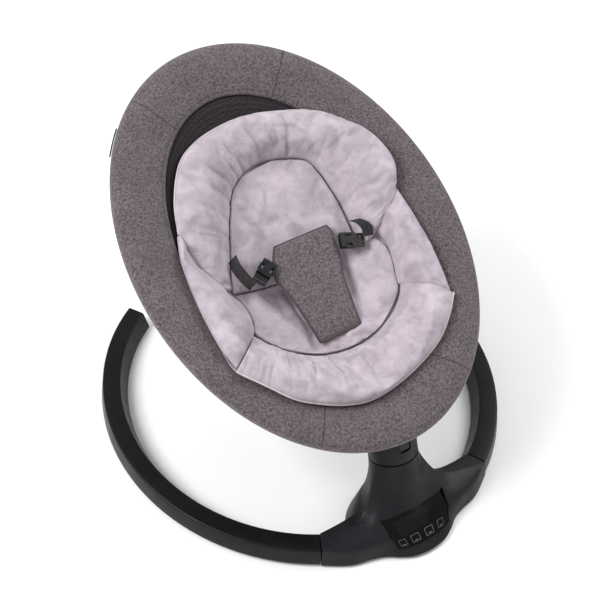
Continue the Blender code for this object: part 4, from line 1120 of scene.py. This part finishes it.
wings = {"left": ([(-0.158, 0.068), (-0.148, 0.020), (-0.120, -0.025), (-0.105, -0.052), (-0.107, -0.078),
                   (-0.120, -0.100)],
                  [(-0.164, 0.072), (-0.181, 0.030), (-0.190, -0.026), (-0.194, -0.070), (-0.195, -0.112),
                   (-0.189, -0.147)]),
         "right": ([(0.138, -0.030), (0.141, -0.050), (0.138, -0.072), (0.131, -0.096), (0.122, -0.119)],
                   [(0.186, 0.012), (0.186, -0.040), (0.183, -0.090), (0.176, -0.135), (0.168, -0.174)])}
for word, (inner, outer) in wings.items():
    chamber("plush_side_wing_" + word, "side_wing_" + word, inner, outer, 0.026, (36, 14), 4.0, 0.006, 0.6)

seat_left = [(-0.110, -0.030), (-0.103, -0.052), (-0.105, -0.078), (-0.116, -0.099), (-0.100, -0.120),
             (-0.072, -0.142), (-0.030, -0.162), (0.006, -0.171)]
seat_right = [(0.134, -0.036), (0.139, -0.056), (0.136, -0.080), (0.128, -0.104), (0.119, -0.128),
              (0.098, -0.148), (0.066, -0.166), (0.036, -0.172)]
chamber("plush_seat_pad", "seat_pad", seat_left, seat_right, 0.015, (44, 48), 3.0, 0.005, 0.5,
        end_taper=0.25, crown_power=0.35)

low_gathers = [(0.34, 0.0070, 0.7, 0.8), (0.46, 0.0060, 0.9, 0.8), (0.52, 0.0060, 1.0, 0.9),
               (0.58, 0.0060, 1.1, 0.9), (0.64, 0.0060, 1.1, 0.9), (0.70, 0.0060, 0.9, 0.8),
               (0.78, 0.0070, 0.6, 0.6), (0.20, 0.0070, 0.6, 0.6)]
chamber("plush_foot_bolster", "lower_bolster", LOW_INNER, LOW_OUTER, 0.034, (170, 18), 4.0, 0.008, 0.7,
        gathers(low_gathers, 0.0065))

# Piping: a 2.6 mm cord of the same velour, a touch pinker, along the insert's head and foot edges.
piping_cloth, tree, shader, place = begin("velour_piping", "#c9bdbd", 0.95, Sheen_Weight=0.5,
                                          Sheen_Roughness=0.35)
mottle(tree, shader, place, "#c2b5b5", "#d3c8c8", 0.006)
grain(tree, shader, place, 0.0016, 0.0004)
for name, curve, row_end in (("head", HEAD_OUTER[3:15], 110), ("foot", LOW_OUTER, 90)):
    path = []
    for spot in spline(curve, row_end):
        path.append(seat_place(spot.x, spot.y, bowl_height(spot.x, spot.y) + PLUSH_LIFT + 0.0045))
    round_cord("insert_piping_" + name, path, 0.0013, 10, piping_cloth)


# ================================================================ crotch pad
# A flat trapezium of grey melange over foam, about 7 mm thick and bound round its edge, which
# comes up between the legs and carries a buckle on each side.
PAD_ROWS = [(-0.148, 0.0100, 0.0355), (-0.110, 0.0110, 0.0400), (-0.070, 0.0120, 0.0460),
            (-0.036, 0.0140, 0.0560), (-0.016, 0.0180, 0.0540), (0.000, 0.0240, 0.0520),
            (0.012, 0.0270, 0.0470)]
pad_height = spline([(-0.0690, 0), (-0.0660, 0), (-0.0640, 0), (-0.0620, 0), (-0.0605, 0),
                     (-0.0600, 0), (-0.0600, 0)], 36)
pad_middle = spline([(m, h) for _, m, h in PAD_ROWS], 36)
pad_along = spline([(s, 0) for s, _, _ in PAD_ROWS], 36)
crotch_top, crotch_under = [], []
for k in range(37):
    top_row, under_row = [], []
    for c in range(31):
        v = 2 * c / 30 - 1
        x, s = pad_middle[k].x + pad_middle[k].y * v, pad_along[k].x
        edge = min(1 - abs(v), 1 - abs(2 * k / 36 - 1)) / 0.12
        soft = 0.0015 + 0.0025 * min(1.0, max(0.0, edge)) ** 0.5
        quilt = 0.0006 * math.sin(x * 160) * math.sin(s * 120)
        top_row.append((x, s, pad_height[k].x + soft + quilt))
        under_row.append((x, s, pad_height[k].x - 0.0030))
    crotch_top.append(top_row)
    crotch_under.append(under_row)
crotch_top, crotch_under = np.array(crotch_top), np.array(crotch_under)

# The same melange spun greyer, its weave drawn at 1.6 mm.
grey_melange, tree, shader, place = begin("woven_grey_melange_polyester", "#625c5d", 0.92,
                                          Sheen_Weight=0.2, Sheen_Roughness=0.5)
threads = weave(tree, place, 0.0016, Distortion=0.8)
rib = add(tree, "ShaderNodeBump", {"Strength": 0.9, "Distance": 0.0004}, {"Height": threads.outputs[0]})
tree.links.new(rib.outputs["Normal"], shader.inputs["Normal"])
mottle(tree, shader, place, "#433c3f", "#70666a", 0.0034, 3.0)
crotch = pad_mesh("crotch_pad_panel", crotch_top, crotch_under, grey_melange)
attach(crotch, "seat")
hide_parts("crotch_pad")

# Folded binding tape round the pad's edge: plain dark grey polyester with a 1.2 mm texture.
binding_tape, tree, shader, place = begin("folded_polyester_binding", "#3c3638", 0.85,
                                          Sheen_Weight=0.2, Sheen_Roughness=0.5)
mottle(tree, shader, place, "#352f31", "#453f41", 0.003)
grain(tree, shader, place, 0.0012, 0.0002)
loop = [(k, 0) for k in range(37)] + [(36, c) for c in range(1, 31)]
loop += [(k, 30) for k in range(35, -1, -1)] + [(0, c) for c in range(29, 0, -1)]
binding_path = [seat_place(*crotch_top[k][c]) - seat_up * 0.0016 for k, c in loop]
binding_rings = []
for k, point in enumerate(binding_path):
    run = (binding_path[(k + 1) % len(binding_path)] - binding_path[k - 1]).normalized()
    across = run.cross(seat_up).normalized()
    binding_rings.append([point + across * (0.0024 * math.cos(math.pi * i / 6))
                          + seat_up * (0.0026 * math.sin(math.pi * i / 6)) for i in range(12)])
binding = loft("crotch_pad_binding", binding_rings, binding_tape, looped=True, smooth_angle=60)
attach(binding, "seat")


# ================================================================ straps and buckles
# 17 mm polypropylene webbing comes up through the insert, with no slot cut for it; side-release
# buckles in black acetal join it to the crotch pad.
webbing, tree, shader, place = begin("woven_black_polypropylene_webbing", "#232123", 0.7,
                                     Sheen_Weight=0.1, Specular_IOR_Level=0.25)
ribs = add(tree, "ShaderNodeTexWave", {"Scale": WAVE_BAND / 0.0016, "bands_direction": "DIAGONAL",
                                       "Distortion": 0.5}, {"Vector": place})
rib = add(tree, "ShaderNodeBump", {"Strength": 0.8, "Distance": 0.0004}, {"Height": ribs.outputs["Fac"]})
tree.links.new(rib.outputs["Normal"], shader.inputs["Normal"])
mottle(tree, shader, place, "#1b191b", "#302d2f", 0.002)


def flat_strap(name, path, half_width, across, material, thickness=0.0014, spans=28):
    """Flat webbing along a path of seat places, its width along one direction."""
    across = Vector(across).normalized() * half_width
    points = spline(path, spans)
    rings = []
    for k, point in enumerate(points):
        run = points[min(k + 1, spans)] - points[max(k - 1, 0)]
        normal = run.cross(across).normalized() * (thickness / 2)
        ring = [point - across + normal * 0.4, point - across * 0.94 + normal,
                point + across * 0.94 + normal, point + across + normal * 0.4,
                point + across - normal * 0.4, point + across * 0.94 - normal,
                point - across * 0.94 - normal, point - across - normal * 0.4]
        rings.append([seat_place(*p) for p in ring])
    piece = loft(name, rings, material, smooth_angle=50)
    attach(piece, "seat")
    return piece


strap = flat_strap("waist_webbing_left", [(-0.0838, -0.0330, -0.0520), (-0.0900, -0.0200, -0.0500),
                                          (-0.0935, 0.0020, -0.0520), (-0.0900, 0.0200, -0.0580)],
                   0.0085, (0.9, 0.35, 0.3), webbing)
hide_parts("waist_strap_left")
strap = flat_strap("waist_webbing_right", [(0.1190, -0.0330, -0.0430), (0.1215, -0.0230, -0.0380),
                                           (0.1190, -0.0120, -0.0370), (0.1130, -0.0010, -0.0430)],
                   0.0085, (0.75, -0.30, 0.45), webbing)
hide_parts("waist_strap_right")
for word in ("left", "right"):
    paint(black_acetal, "buckle_socket_" + word, "buckle_tongue_" + word,
          "buckle_release_%s_a" % word, "buckle_release_%s_b" % word)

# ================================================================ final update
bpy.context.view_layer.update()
